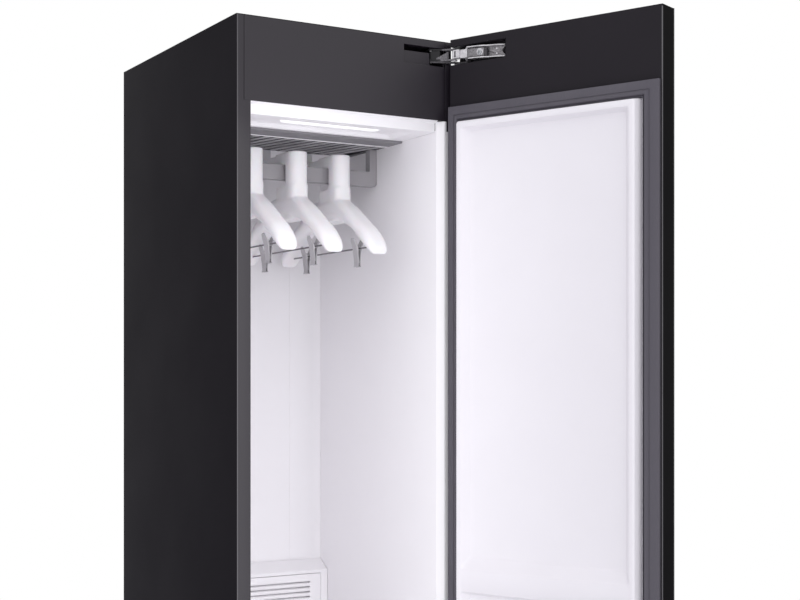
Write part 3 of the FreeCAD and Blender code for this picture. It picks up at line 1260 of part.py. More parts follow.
# ---------------------------------------------------------------- concealed hinge
def from_pin(reach, angle):
    """Point at a distance and bearing from the hinge pin."""
    turn = math.radians(angle)
    return PIN_X + reach * math.cos(turn), PIN_Y + reach * math.sin(turn)


def link_end_angles():
    """Bearing of the link's far pin from the hinge pin, closed then open."""
    middle = LINK_PIVOT_ANGLE + 180.0
    return middle - DOOR_OPEN_ANGLE / 2, middle + DOOR_OPEN_ANGLE / 2


def hinge_levels(base):
    """Heights of the stacked hinge leaves above the pocket's floor, tab and link below the ears."""
    tab = base + HINGE_FLOOR_GAP
    link = tab + TAB_THICKNESS + EAR_GAP
    lower = link + LINK_THICKNESS + EAR_GAP
    knuckle = lower + EAR + EAR_GAP
    upper = knuckle + KNUCKLE_HEIGHT + EAR_GAP
    return lower, knuckle, upper, link, tab


def hinge_bracket(base):
    """Cabinet side of the hinge: a base block in the pocket and two ears that reach the pin."""
    lower, knuckle, upper, link, tab = hinge_levels(base)
    pivot_x, pivot_y = from_pin(LINK_PIVOT_BACK, LINK_PIVOT_ANGLE)
    bend_x = FACIA_HALF - 3 * KNUCKLE_RADIUS / 2 - POCKET_WALL
    bend_y = FRONT - KNUCKLE_RADIUS / 2
    base_y = FRONT + POCKET_DEPTH
    leaves = []
    for level in (lower, upper):
        leaves.append(stadium(pivot_x, base_y - BRACKET_BASE_DEPTH, pivot_x, pivot_y, BRACKET_HALF,
                              level, level + EAR))
        leaves.append(stadium(pivot_x, pivot_y, bend_x, bend_y, KNUCKLE_RADIUS, level, level + EAR))
        leaves.append(stadium(bend_x, bend_y, PIN_X, PIN_Y, KNUCKLE_RADIUS, level, level + EAR))
    block = box(pivot_x - BRACKET_HALF, pivot_x + BRACKET_HALF, base_y - BRACKET_BASE_DEPTH,
                base_y, lower, upper + EAR)
    post = cylinder(LINK_PIN_RADIUS, pivot_x, pivot_y, link, lower + EAR - link)
    bracket = fuse(leaves + [block, post])
    bore = cylinder(HINGE_PIN_RADIUS + SHAFT_GAP, PIN_X, PIN_Y, lower - SHEET,
                    upper + EAR - lower + 2 * SHEET)
    pin = cylinder(HINGE_PIN_RADIUS, PIN_X, PIN_Y, lower, upper + EAR - lower)
    return [bracket.cut(bore), pin]


def hinge_link(base):
    """Flat link from the bracket's post to the slot in the door arm's tab, at the open stop."""
    lower, knuckle, upper, link, tab = hinge_levels(base)
    pivot_x, pivot_y = from_pin(LINK_PIVOT_BACK, LINK_PIVOT_ANGLE)
    end_x, end_y = from_pin(LINK_END_REACH, link_end_angles()[1])
    bar = stadium(pivot_x, pivot_y, end_x, end_y, LINK_RADIUS, link, link + LINK_THICKNESS)
    pin = cylinder(LINK_PIN_RADIUS, end_x, end_y, tab, link + LINK_THICKNESS - tab)
    bore = cylinder(LINK_PIN_RADIUS + SHAFT_GAP, pivot_x, pivot_y, link - SHEET,
                    LINK_THICKNESS + 2 * SHEET)
    return fuse([bar, pin]).cut(bore)


def hinge_arm(base):
    """Door side of the hinge, door closed: knuckle, long arm in the door's slot and slotted tab."""
    lower, knuckle, upper, link, tab = hinge_levels(base)
    face = PIN_Y + PIN_FROM_FACE
    arm_back = face - SLOT_SHALLOW + FIT_GAP
    arm_front = arm_back + ARM_THICKNESS
    arm_start = PIN_X - KNUCKLE_RADIUS / 2
    arm_end = HINGE_EDGE_X - ARM_LENGTH
    knob = cylinder(KNUCKLE_RADIUS, PIN_X, PIN_Y, knuckle, KNUCKLE_HEIGHT)
    body = box(arm_end, arm_start, arm_back, arm_back + ARM_THICKNESS / 2, knuckle,
               knuckle + KNUCKLE_HEIGHT)
    rails = []
    rail_start = HINGE_EDGE_X - SLOT_DEEP_LENGTH + LINK_RADIUS
    for z in (knuckle, knuckle + KNUCKLE_HEIGHT - EAR):
        rails.append(box(arm_end, rail_start, arm_back, arm_front, z, z + EAR))
    riser = box(rail_start - LINK_RADIUS, rail_start, arm_back, arm_front, tab,
                knuckle + KNUCKLE_HEIGHT)
    end_x, end_y = from_pin(LINK_END_REACH, link_end_angles()[0])
    slot_radius = LINK_PIN_RADIUS + LINK_SLOT_PLAY
    plate = box(rail_start - LINK_RADIUS, end_x + slot_radius + TAB_WALL,
                end_y - slot_radius - TAB_WALL, arm_back + LINK_RADIUS, tab, tab + TAB_THICKNESS)
    inner_x, inner_y = from_pin(LINK_END_REACH - LINK_END_PLAY, link_end_angles()[0])
    slot = stadium(inner_x, inner_y, end_x, end_y, slot_radius, tab - SHEET,
                   tab + TAB_THICKNESS + SHEET)
    bore = cylinder(HINGE_PIN_RADIUS + SHAFT_GAP, PIN_X, PIN_Y, knuckle - SHEET,
                    KNUCKLE_HEIGHT + 2 * SHEET)
    arm = fuse([knob, body] + rails + [riser, plate])
    return arm.cut([bore, slot])


def hinges():
    brackets = []
    arms = []
    for name, base in (("upper_hinge_link", UPPER_POCKET), ("lower_hinge_link", LOWER_POCKET)):
        brackets += hinge_bracket(base)
        arms.append(swing_open(hinge_arm(base)))
        save(name, hinge_link(base))
    save_group("hinge_brackets", brackets)
    save_group("hinge_arms", arms)


# ---------------------------------------------------------------- door, built closed, then swung
def along_door(distance):
    """X of a place at a distance from the hinge edge of the closed door."""
    return HINGE_EDGE_X - distance


def hinge_slot_spaces(base):
    """Spaces that the hinge needs in the door, open at the inner face and the hinge edge."""
    z1 = base + POCKET_HEIGHT
    shallow = box(along_door(SLOT_LENGTH), HINGE_EDGE_X + SHEET, DOOR_FACE - SLOT_SHALLOW,
                  DOOR_FACE + SHEET, base, z1)
    deep = box(along_door(SLOT_DEEP_LENGTH), HINGE_EDGE_X + SHEET, DOOR_FACE - SLOT_DEEP,
               DOOR_FACE + SHEET, base, z1)
    return [shallow, deep]


def hinge_slot_block(base):
    """Solid moulding round a hinge slot."""
    return box(along_door(SLOT_LENGTH + SLOT_BLOCK), HINGE_EDGE_X, DOOR_OUTER + DOOR_GLASS,
               DOOR_FACE, base - SLOT_BLOCK, base + POCKET_HEIGHT + SLOT_BLOCK)


def door_box(inset, near, far):
    """Box of the door's outline, inset all round, between two distances behind its inner face."""
    return box(along_door(inset), along_door(DOOR_WIDTH - inset), DOOR_FACE - far,
               DOOR_FACE - near, DOOR_BOTTOM + inset, CABINET_HEIGHT - inset)


def liner_rect(inset):
    """X-Z outline of the liner's base, inset all round."""
    return (along_door(LINER_END - inset), along_door(LINER_START + inset),
            LINER_BOTTOM + inset, CABINET_HEIGHT - LINER_TOP - inset)


def door_outer_panel():
    """Dark front sheet of the door with a shallow seat for the display lens."""
    panel = door_box(0.0, DOOR_THICKNESS - DOOR_GLASS, DOOR_THICKNESS)
    panel = panel.makeFillet(DOOR_EDGE_ROUND, [e for e in panel.Edges
                                               if abs(e.CenterOfMass.y - DOOR_OUTER) < EPS])
    save("door_outer_panel", swing_open(panel.cut(display_block(SEAM / 2))))


def display_block(margin):
    middle = along_door(DOOR_WIDTH / 2)
    return box(middle - DISPLAY_WIDTH / 2 - margin, middle + DISPLAY_WIDTH / 2 + margin, DOOR_OUTER,
               DOOR_OUTER + DISPLAY_DEPTH, DISPLAY_CENTRE - DISPLAY_HEIGHT / 2 - margin,
               DISPLAY_CENTRE + DISPLAY_HEIGHT / 2 + margin)


def door_display():
    save("door_display", swing_open(display_block(0.0)))


def door_frame():
    """Box frame of the door: edge walls, an inner face with the liner's window, hinge blocks."""
    depth = DOOR_THICKNESS - DOOR_GLASS
    outer = door_box(0.0, 0.0, depth)
    hollow = door_box(DOOR_FRAME_WALL, DOOR_FRAME_WALL, depth + SHEET)
    window_rect = liner_rect(2 * DOOR_FRAME_WALL)
    window = frustum_y(window_rect, DOOR_FACE + SHEET, window_rect, DOOR_FACE - 2 * DOOR_FRAME_WALL)
    blocks = [hinge_slot_block(base) for base in (UPPER_POCKET, LOWER_POCKET)]
    spaces = hinge_slot_spaces(UPPER_POCKET) + hinge_slot_spaces(LOWER_POCKET)
    frame = fuse([outer.cut([hollow, window])] + blocks)
    save("door_frame", swing_open(cut_all(frame, spaces)))


def door_insulation():
    """Foam slab between the door's hinge blocks."""
    margin = DOOR_FRAME_WALL + FIT_GAP
    slab = box(along_door(margin), along_door(DOOR_WIDTH - margin),
               DOOR_OUTER + DOOR_GLASS + FIT_GAP, DOOR_FACE - DOOR_FRAME_WALL - FIT_GAP,
               LOWER_POCKET + POCKET_HEIGHT + SLOT_BLOCK + margin,
               UPPER_POCKET - SLOT_BLOCK - margin)
    save("door_insulation", swing_open(slab))


def tray_rects():
    """Outer X-Z outlines of the liner's upper and lower trays at its raised face."""
    x0, x1, z0, z1 = liner_rect(LINER_DRAFT)
    x0 += TRAY_MARGIN_FREE
    x1 -= TRAY_MARGIN_HINGE
    upper = (x0, x1, TRAY_DIVIDE, z1 - TRAY_TOP_MARGIN)
    lower = (x0, x1, z0 + TRAY_BOTTOM_MARGIN, TRAY_DIVIDE - TRAY_BAND)
    return upper, lower


def tray_floor(rect):
    x0, x1, z0, z1 = rect
    return (x0 + TRAY_SIDE_BEVEL, x1 - TRAY_SIDE_BEVEL, z0 + TRAY_BOTTOM_BEVEL, z1 - TRAY_TOP_BEVEL)


def door_liner():
    """Raised white liner shell with two shallow bevelled trays."""
    base_level = DOOR_FACE + FIT_GAP
    face_level = DOOR_FACE + LINER_PROUD
    outer = frustum_y(liner_rect(0.0), base_level, liner_rect(LINER_DRAFT), face_level)
    inner = frustum_y(liner_rect(LINER_WALL), base_level - SHEET,
                      liner_rect(LINER_DRAFT + LINER_WALL), face_level - LINER_WALL)
    pans = []
    recesses = []
    floor_level = face_level - TRAY_RECESS
    for rect in tray_rects():
        floor = tray_floor(rect)
        pans.append(frustum_y(grow(floor, LINER_WALL), floor_level - LINER_WALL,
                              grow(rect, LINER_WALL), face_level))
        recesses.append(frustum_y(floor, floor_level, rect, face_level))
    shell = fuse([outer.cut(inner)] + pans)
    save("door_liner", swing_open(cut_all(shell, recesses)))


def door_gasket():
    """Grey magnetic gasket frame: a flat band with a raised bead near its inner edge."""
    x0, x1, z0, z1 = liner_rect(-FIT_GAP)
    low = DOOR_FACE + FIT_GAP
    band_top = low + GASKET_BAND
    outer = box(along_door(DOOR_WIDTH - GASKET_INSET_FREE), along_door(GASKET_INSET_HINGE), low,
                band_top, GASKET_BOTTOM, CABINET_HEIGHT - GASKET_TOP)
    hole = box(x0, x1, low - SHEET, band_top + 2 * GASKET_BEAD, z0, z1)
    ix0, ix1, iz0, iz1 = grow((x0, x1, z0, z1), GASKET_BEAD_INSET)
    ox0, ox1, oz0, oz1 = grow((ix0, ix1, iz0, iz1), GASKET_BEAD_WIDTH)
    slope = GASKET_BEAD / 2
    bead = frustum_y((ox0, ox1, oz0, oz1), band_top,
                     grow((ox0, ox1, oz0, oz1), -slope), band_top + GASKET_BEAD)
    bead_hole = frustum_y((ix0, ix1, iz0, iz1), band_top,
                          grow((ix0, ix1, iz0, iz1), slope), band_top + GASKET_BEAD)
    gasket = fuse([outer.cut(hole), bead.cut(bead_hole)])
    save("door_gasket", swing_open(gasket))


def main():
    os.makedirs("parts", exist_ok=True)
    base_tray()
    front_feet()
    side_panels()
    top_panel()
    rear_panel()
    power_inlet()
    header_facia()
    lower_facia()
    liner_walls()
    liner_back_wall()
    liner_ceiling()
    liner_floor()
    wall_insulation()
    lamp_lens()
    ceiling_grille()
    hanging_rail()
    hanger_nozzles()
    air_plenum()
    upper_fan()
    hangers()
    clips()
    louvre_box()
    lint_filter()
    tanks()
    heat_exchangers()
    compressor()
    steam_generator()
    circulation_fan()
    control_board()
    hinges()
    door_outer_panel()
    door_display()
    door_frame()
    door_insulation()
    door_liner()
    door_gasket()


main()
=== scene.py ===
"""Clothes care steam cabinet with its door standing open.

Pieces are drawn in millimetres and made in metres, in the frame of the CAD model: X right, Y towards
the back, Z up, floor at 0. Pieces of the door are drawn on the closed door and then swung open.
"""

import json
import math

import bmesh
import bpy
from mathutils import Matrix, Vector


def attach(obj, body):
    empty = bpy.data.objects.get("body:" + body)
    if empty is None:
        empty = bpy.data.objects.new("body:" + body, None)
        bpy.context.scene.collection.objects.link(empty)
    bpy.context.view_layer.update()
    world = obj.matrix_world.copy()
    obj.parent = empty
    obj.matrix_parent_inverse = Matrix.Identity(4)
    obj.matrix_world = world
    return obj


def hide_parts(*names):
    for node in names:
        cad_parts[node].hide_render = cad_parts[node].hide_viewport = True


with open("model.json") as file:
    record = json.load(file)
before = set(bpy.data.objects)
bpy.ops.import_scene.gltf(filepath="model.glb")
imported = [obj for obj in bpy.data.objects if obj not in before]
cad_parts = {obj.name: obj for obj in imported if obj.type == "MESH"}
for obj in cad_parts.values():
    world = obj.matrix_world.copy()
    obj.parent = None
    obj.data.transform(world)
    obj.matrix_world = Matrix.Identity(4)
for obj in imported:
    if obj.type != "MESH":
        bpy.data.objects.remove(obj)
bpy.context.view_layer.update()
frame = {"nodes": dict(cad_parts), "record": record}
MM = 0.001
HALF = 222.5                 # half the cabinet's width
FRONT = -285.0               # cabinet's front plane
REAR = 285.0
TOP = 1850.0
SPAN_HALF = 195.2            # half the width that rail and grille span
CEILING = 1680.0
HINGE_PIN = (216.5, -305.0)  # the door's turning axis
HINGE_BASES = {"upper": 1802.0, "lower": 55.0}
HINGE_SCREW_X = 157.0        # adjusting screw of each hinge arm
DOOR_ANGLE = math.radians(112)
DOOR_FACE = -297.0           # inner face of the closed door
HANGER_X = (-95.0, 0.0, 95.0)
RAIL_MIDDLE = -38.0          # middle of the hanging rail, front to back
HOOK_TOP = 1653.3
WIRE_LEVEL = 1463.3
ARM_REACH = 194.0            # middle of the rail to an arm's tip
CLIP_OFFSET = 108.0
DROOP, DROOP_FROM = 0.055, 200.0   # how steeply a hinge arm falls away, and from which X on
LINK_PIVOT_REACH, LINK_PIVOT_BEARING = 45.0, 142.0  # hinge pin to the link's fixed pivot, mm and degrees
LINK_PIN_REACH, LINK_PIN_TURN = 16.0, 56.0          # hinge pin to the link's far pin, mm and degrees


# ------------------------------------------------------------------ small helpers for materials
def linear(code):
    """Linear colour of an sRGB hex code such as "f2f0f4"."""
    def channel(pair):
        value = int(pair, 16) / 255
        return value / 12.92 if value <= 0.04045 else ((value + 0.055) / 1.055) ** 2.4
    return tuple(channel(code[k:k + 2]) for k in (0, 2, 4)) + (1.0,)


def add(tree, kind, inputs=None, **settings):
    """Adds a node; an input's value is a number, a colour or the socket that feeds it."""
    made = tree.nodes.new(kind)
    for name, value in settings.items():
        setattr(made, name, value)
    for key, value in (inputs or {}).items():
        if isinstance(value, bpy.types.NodeSocket):
            tree.links.new(value, made.inputs[key])
        else:
            made.inputs[key].default_value = value
    return made


def ramp(tree, factor, stops):
    """Colour ramp; stops are (place, linear colour)."""
    made = add(tree, "ShaderNodeValToRGB", {"Fac": factor})
    while len(made.color_ramp.elements) < len(stops):
        made.color_ramp.elements.new(1.0)
    for element, (place, colour) in zip(made.color_ramp.elements, stops):
        element.position = place
        element.color = colour
    return made.outputs["Color"]


def place_in_mm(tree, stretch=(1.0, 1.0, 1.0)):
    """Object coordinates in millimetres, stretched along each axis."""
    source = add(tree, "ShaderNodeTexCoord")
    scale = [1000.0 / s for s in stretch]
    mapping = add(tree, "ShaderNodeMapping", {"Vector": source.outputs["Object"], "Scale": scale})
    return mapping.outputs["Vector"]


MATERIAL = {}


def new_material(name):
    """Empty material in the table; gives its tree and its shader."""
    MATERIAL[name] = bpy.data.materials.new(name)
    MATERIAL[name].use_nodes = True
    tree = MATERIAL[name].node_tree
    return tree, tree.nodes["Principled BSDF"]


def finish(name, colour, shade, roughness, grain_mm, grain_depth_mm, spread=0.06, stretch=(1, 1, 1),
           patch_mm=60.0, **sockets):
    """Surface with a fine grain bump, soft patches of colour and a roughness that varies with them.

    colour and shade are the lighter and darker tone; sockets are set on the shader itself.
    """
    tree, shader = new_material(name)
    where = place_in_mm(tree, stretch)
    grain = add(tree, "ShaderNodeTexNoise", {"Vector": where, "Scale": 1.0 / grain_mm, "Detail": 3.0})
    patches = add(tree, "ShaderNodeTexNoise", {"Vector": where, "Scale": 1.0 / patch_mm, "Detail": 4.0})
    blend = add(tree, "ShaderNodeMath", {0: grain.outputs["Fac"], 1: patches.outputs["Fac"]},
                operation="MULTIPLY")
    tone = ramp(tree, blend.outputs[0], [(0.08, linear(shade)), (0.45, linear(colour))])
    tree.links.new(tone, shader.inputs["Base Color"])
    rough = add(tree, "ShaderNodeMapRange", {"Value": blend.outputs[0], "From Min": 0.05, "From Max": 0.5,
                                             "To Min": roughness + spread, "To Max": roughness - spread})
    tree.links.new(rough.outputs["Result"], shader.inputs["Roughness"])
    bump = add(tree, "ShaderNodeBump", {"Height": grain.outputs["Fac"], "Strength": 1.0,
                                        "Distance": grain_depth_mm * MM})
    tree.links.new(bump.outputs["Normal"], shader.inputs["Normal"])
    for key, value in sockets.items():
        shader.inputs[key.replace("_", " ")].default_value = value


def galvanised_sheet():
    """Hot-dip galvanised steel: pale zinc crystals some 9 mm across, each of its own brightness."""
    tree, shader = new_material("galvanised_sheet")
    crystals = add(tree, "ShaderNodeTexVoronoi", {"Vector": place_in_mm(tree), "Scale": 1 / 9.0})
    grey = add(tree, "ShaderNodeRGBToBW", {"Color": crystals.outputs["Color"]})
    tone = ramp(tree, grey.outputs["Val"], [(0.2, linear("9a9ea2")), (0.8, linear("c4c8cb"))])
    tree.links.new(tone, shader.inputs["Base Color"])
    rough = add(tree, "ShaderNodeMapRange", {"Value": grey.outputs["Val"], "To Min": 0.32, "To Max": 0.5})
    tree.links.new(rough.outputs["Result"], shader.inputs["Roughness"])
    shader.inputs["Metallic"].default_value = 0.85


def circuit_board():
    """Green solder-mask laminate with copper tracks every 2.5 mm under the lacquer."""
    tree, shader = new_material("circuit_board_laminate")
    tracks = add(tree, "ShaderNodeTexBrick", {"Vector": place_in_mm(tree), "Scale": 1 / 2.5,
                                              "Color1": linear("14532c"), "Color2": linear("1a6336"),
                                              "Mortar": linear("2f7d4a"), "Mortar Size": 0.08})
    tree.links.new(tracks.outputs["Color"], shader.inputs["Base Color"])
    shader.inputs["Roughness"].default_value = 0.35


# ------------------------------------------------------------------ materials
# powder-coated steel: fine orange peel, near black with a violet cast, low gloss
finish("powder_coated_steel", "131016", "110e14", 0.5, 1.6, 0.008, patch_mm=180.0, Specular_IOR_Level=0.03)
# the bend of the same sheet: glossier paint round the edge, made paler as a painted highlight
finish("glossy_edge_painted_highlight", "545256", "4c4a4e", 0.3, 2.0, 0.002, spread=0.03, Specular_IOR_Level=0.6)
# pre-painted facia steel: satin and smoother than the sides
finish("satin_painted_steel", "262129", "231f26", 0.34, 0.9, 0.003, spread=0.03, patch_mm=160.0,
       Specular_IOR_Level=0.5)
# injection-moulded ABS liner: soft gloss, faint flow patches
finish("moulded_white_abs", "faf8fb", "f8f6f9", 0.36, 1.1, 0.005, spread=0.04, patch_mm=90.0,
       Specular_IOR_Level=0.35)
# vacuum-formed door liner: one sheet of ABS, a little duller on its stretched corners
finish("formed_white_abs", "ebe8ed", "e8e5ea", 0.42, 1.3, 0.006, spread=0.05, patch_mm=120.0,
       Specular_IOR_Level=0.3)
# blow-moulded polypropylene: slightly waxy, with some light let in
finish("waxy_white_polypropylene", "f8f6f9", "f5f3f6", 0.34, 1.4, 0.005, spread=0.05,
       Specular_IOR_Level=0.4, Subsurface_Weight=0.12, Subsurface_Scale=0.004)
# grey slats of the same moulding as the frame, painted paler so that they stand out against the dark duct:
# painted light on the slats
finish("slat_grey_painted_light", "c2c0c4", "b8b6ba", 0.42, 0.8, 0.01, Specular_IOR_Level=0.35)
# mid grey polymer of the grille's frame: an even, almost matt moulding
finish("satin_grey_polymer", "8a888c", "828084", 0.45, 0.8, 0.01, Specular_IOR_Level=0.3)
# painted aluminium bar, grain drawn along its length
finish("satin_rail_paint", "aaa7ab", "a3a0a4", 0.40, 0.5, 0.01, stretch=(30, 1, 1),
       Specular_IOR_Level=0.35)
# vacuum-formed door moulding, black and barely glossy
finish("black_abs", "242126", "221f24", 0.55, 0.7, 0.008, patch_mm=200.0, Specular_IOR_Level=0.12)
# the door's rim: the same moulding with a matt black film round the edge
finish("matt_edge_film", "080709", "060507", 0.6, 0.9, 0.004, patch_mm=200.0, Specular_IOR_Level=0.03)
# extruded PVC seal: matt, with a drag texture along its length
finish("grey_pvc_seal", "5c5960", "55525a", 0.62, 0.6, 0.03, stretch=(1, 1, 25), Specular_IOR_Level=0.25)
# back-painted glass of the door's front: deep black that mirrors the room softly
finish("black_glass", "121013", "100e11", 0.12, 40.0, 0.0, spread=0.01, patch_mm=400.0,
       Specular_IOR_Level=0.25, Coat_Weight=0.3, Coat_Roughness=0.04)
# display window: darker and shinier than the glass round it
finish("smoked_acrylic", "0c0c0e", "08080a", 0.08, 10.0, 0.0, spread=0.01, Specular_IOR_Level=0.3)
# zinc die casting, nickel plated: small soft ripples of the casting
finish("nickel_plated_zinc", "f4f2f5", "c4c1c5", 0.3, 1.1, 0.04, spread=0.1, patch_mm=5.0, Metallic=0.35)
# the tail and saddle of the same plated casting in a darker, duller copy of the plating: painted shade beside
# its highlit edges, with a pitted bump
finish("pitted_zinc_painted_shade", "b4b1b5", "5c595d", 0.42, 1.0, 0.12, spread=0.12, patch_mm=3.0, Metallic=0.6)
# blackened steel stampings with an oily film and rubbed spots
finish("black_oxide_steel", "6c696e", "151316", 0.45, 0.9, 0.12, patch_mm=2.4, Metallic=0.5)
# cast hinge base with a grey phosphate bloom
finish("phosphated_steel", "8a878c", "2a282b", 0.5, 1.0, 0.16, patch_mm=2.4, Metallic=0.3)
# spring steel strip with the lines of its rolling
finish("rolled_stainless", "d8d6d9", "b0aeb1", 0.3, 0.35, 0.012, stretch=(1, 1, 18), Metallic=0.2)
# drawn wire: bright metal with fine lines along the pull
finish("drawn_stainless_wire", "8f8c90", "737075", 0.28, 0.25, 0.01, stretch=(1, 30, 1), Metallic=0.95)
# zinc-plated carbon steel of the small screws, bright with a faint blue
finish("zinc_plated_screw", "c3c5c9", "9ea0a5", 0.3, 0.5, 0.01, patch_mm=2.0, Metallic=1.0)
# tank plastic: cool and half clear, so that its walls look thin
finish("clear_polycarbonate", "cfd3d8", "c4c9cf", 0.22, 1.0, 0.004, Transmission_Weight=0.45, IOR=1.58)
# caps and duct: charcoal with a visible mould grain; on the duct above the grille the charcoal is painted
# shade seen between the slats
finish("dark_grey_polypropylene", "55535a", "4b4950", 0.5, 0.8, 0.02, Specular_IOR_Level=0.3)
# enamel over rough castings: black with a soft lumpy sheen
finish("cast_black_enamel", "1f1e21", "1b1a1d", 0.4, 1.5, 0.05, Specular_IOR_Level=0.3)
# thin aluminium sheet of the exchangers, bright with upright rolling lines
finish("aluminium_fin_stock", "cfd2d5", "b5b9bd", 0.34, 0.5, 0.01, stretch=(1, 1, 20), Metallic=0.95)
# fan and inlet plastic: black, dull and a little fibrous
finish("glass_filled_nylon", "29292c", "232326", 0.55, 0.6, 0.03, Specular_IOR_Level=0.25)
# hard rubber soles: dusty black with no shine
finish("foot_rubber", "202022", "18181a", 0.75, 0.7, 0.05, Specular_IOR_Level=0.2)
# foam in the walls: cream with open, uneven cells
finish("polyurethane_foam", "e6dfc4", "d5cdae", 0.9, 1.5, 0.3, patch_mm=25.0)
# lamp cover: milky and faintly lit from within
finish("frosted_lens", "fbfbfd", "f4f4f7", 0.4, 0.7, 0.01, Emission_Strength=0.6,
       Emission_Color=(1.0, 1.0, 1.0, 1.0))
# grip pads of the clips: soft charcoal rubber
finish("jaw_rubber", "2e2c2f", "252326", 0.7, 0.5, 0.03, Specular_IOR_Level=0.2)
galvanised_sheet()
circuit_board()

NODES_OF = {
    "galvanised_sheet": "base_tray rear_panel steam_generator",
    "powder_coated_steel": "left_side_panel right_side_panel top_panel",
    "satin_painted_steel": "header_facia lower_facia",
    "moulded_white_abs": "liner_left_wall liner_right_wall liner_back_wall liner_ceiling liner_floor "
                         "rear_louvre_cover lint_filter",
    "polyurethane_foam": "wall_insulation door_insulation",
    "frosted_lens": "lamp_lens",
    "satin_grey_polymer": "ceiling_grille",
    "waxy_white_polypropylene": "hanger_nozzles hanger_1 hanger_2 hanger_3",
    # the air duct over the grille is given the charcoal as painted shade behind the slats
    "dark_grey_polypropylene": "air_plenum water_tank_cap drain_tank_cap",
    "glass_filled_nylon": "upper_fan_wheel circulation_fan_wheel circulation_fan_housing power_inlet",
    "cast_black_enamel": "upper_fan_motor compressor",
    "satin_rail_paint": "hanging_rail",
    "clear_polycarbonate": "water_tank drain_tank",
    "aluminium_fin_stock": "heat_exchangers",
    "circuit_board_laminate": "control_board",
    "foot_rubber": "front_left_foot front_right_foot",
    "black_glass": "door_outer_panel",
    "black_abs": "door_frame",
    "formed_white_abs": "door_liner",
    "grey_pvc_seal": "door_gasket",
    "smoked_acrylic": "door_display",
    "black_oxide_steel": "hinge_brackets upper_hinge_link lower_hinge_link",
    "nickel_plated_zinc": "hinge_arms",
    "rolled_stainless": " ".join(node for node in frame["nodes"] if node.startswith("clip_")),
}
NODE_FINISH = {node: name for name, nodes in NODES_OF.items() for node in nodes.split()}
for node, item in frame["nodes"].items():
    item.data.materials.clear()
    item.data.materials.append(MATERIAL[NODE_FINISH[node]])


# ------------------------------------------------------------------ small helpers for shapes
def placed(name, data):
    """Object in the scene with some mesh, lamp or camera data."""
    item = bpy.data.objects.new(name, data)
    bpy.context.scene.collection.objects.link(item)
    return item


def settled(item):
    """Plain mesh of an object with its modifiers applied; the object itself goes."""
    view = bpy.context.evaluated_depsgraph_get()
    mesh = bpy.data.meshes.new_from_object(item.evaluated_get(view))
    bpy.data.objects.remove(item)
    return mesh


def shown(name, mesh, body, material, slot, *stands_for):
    """A finished mesh as a piece: it rides on a body and may stand for CAD nodes."""
    mesh.name = name
    mesh.materials.clear()
    mesh.materials.append(MATERIAL[material])
    piece = placed(name, mesh)
    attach(piece, body)
    if stands_for:
        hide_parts(*stands_for)
    return piece


def smoothed(mesh, sharp=40.0):
    """Mesh shaded smooth but for edges sharper than an angle in degrees."""
    mesh.shade_smooth()
    mesh.set_sharp_from_angle(angle=math.radians(sharp))
    return mesh


def shape_of(*meshes):
    """Working shape that holds some meshes."""
    shape = bmesh.new()
    for mesh in meshes:
        shape.from_mesh(mesh)
    return shape


def mesh_of(shape, mesh=None):
    """Writes a working shape into a mesh, a new one by default, and frees the shape."""
    mesh = mesh or bpy.data.meshes.new("shape")
    shape.to_mesh(mesh)
    shape.free()
    return mesh


def solid(points, faces):
    """Closed mesh from corners in millimetres, its faces turned outwards."""
    mesh = bpy.data.meshes.new("solid")
    mesh.from_pydata([Vector(p) * MM for p in points], [], faces)
    shape = shape_of(mesh)
    bmesh.ops.recalc_face_normals(shape, faces=shape.faces)
    return mesh_of(shape, mesh)


def joined(meshes):
    """One mesh of several."""
    shape = shape_of(*meshes)
    for mesh in meshes:
        bpy.data.meshes.remove(mesh)
    return mesh_of(shape)


def moved(mesh, shift):
    """Copy of a mesh, moved by millimetres."""
    made = mesh.copy()
    made.transform(Matrix.Translation(Vector(shift) * MM))
    return made


def swung(mesh):
    """Mesh of the closed door's piece, swung open about the hinge pin."""
    pin = Vector((HINGE_PIN[0], HINGE_PIN[1], 0.0)) * MM
    mesh.transform(Matrix.Translation(pin) @ Matrix.Rotation(DOOR_ANGLE, 4, "Z") @ Matrix.Translation(-pin))
    return mesh


def lifted(point, level, axis):
    """Point of an outline at a level along the axis that the outline lies across."""
    across, up = point
    return {"x": (level, across, up), "y": (across, level, up), "z": (across, up, level)}[axis]


def around(radius, sides):
    """Corners of a circle in its own plane."""
    angles = [2 * math.pi * k / sides for k in range(sides)]
    return [(radius * math.cos(a), radius * math.sin(a)) for a in angles]


def rounded(corners, steps=5):
    """Closed outline whose corners are rounded; a corner is (across, up, radius)."""
    points = []
    for k, (across, up, radius) in enumerate(corners):
        here = Vector((across, up))
        if radius <= 0:
            points.append((across, up))
            continue
        before = (Vector(corners[k - 1][:2]) - here).normalized()
        after = (Vector(corners[(k + 1) % len(corners)][:2]) - here).normalized()
        half = before.angle(after) / 2
        centre = here + (before + after).normalized() * radius / math.sin(half)
        start = here + before * radius / math.tan(half) - centre
        sweep = start.angle_signed(here + after * radius / math.tan(half) - centre)
        for step in range(steps + 1):
            turn = Matrix.Rotation(-sweep * step / steps, 2)
            points.append(tuple(centre + turn @ start))
    return points


def oblong(x0, x1, z0, z1, radius, steps=5):
    """Rectangle outline with rounded corners."""
    return rounded([(x0, z0, radius), (x1, z0, radius), (x1, z1, radius), (x0, z1, radius)], steps)


def capsule(start, end, radius, steps=10):
    """Outline of a bar with round ends."""
    start, end = Vector(start), Vector(end)
    turn = math.atan2(end.y - start.y, end.x - start.x)
    outline = []
    for centre, first in ((end, turn - math.pi / 2), (start, turn + math.pi / 2)):
        for k in range(steps + 1):
            angle = first + math.pi * k / steps
            outline.append(tuple(centre + radius * Vector((math.cos(angle), math.sin(angle)))))
    return outline


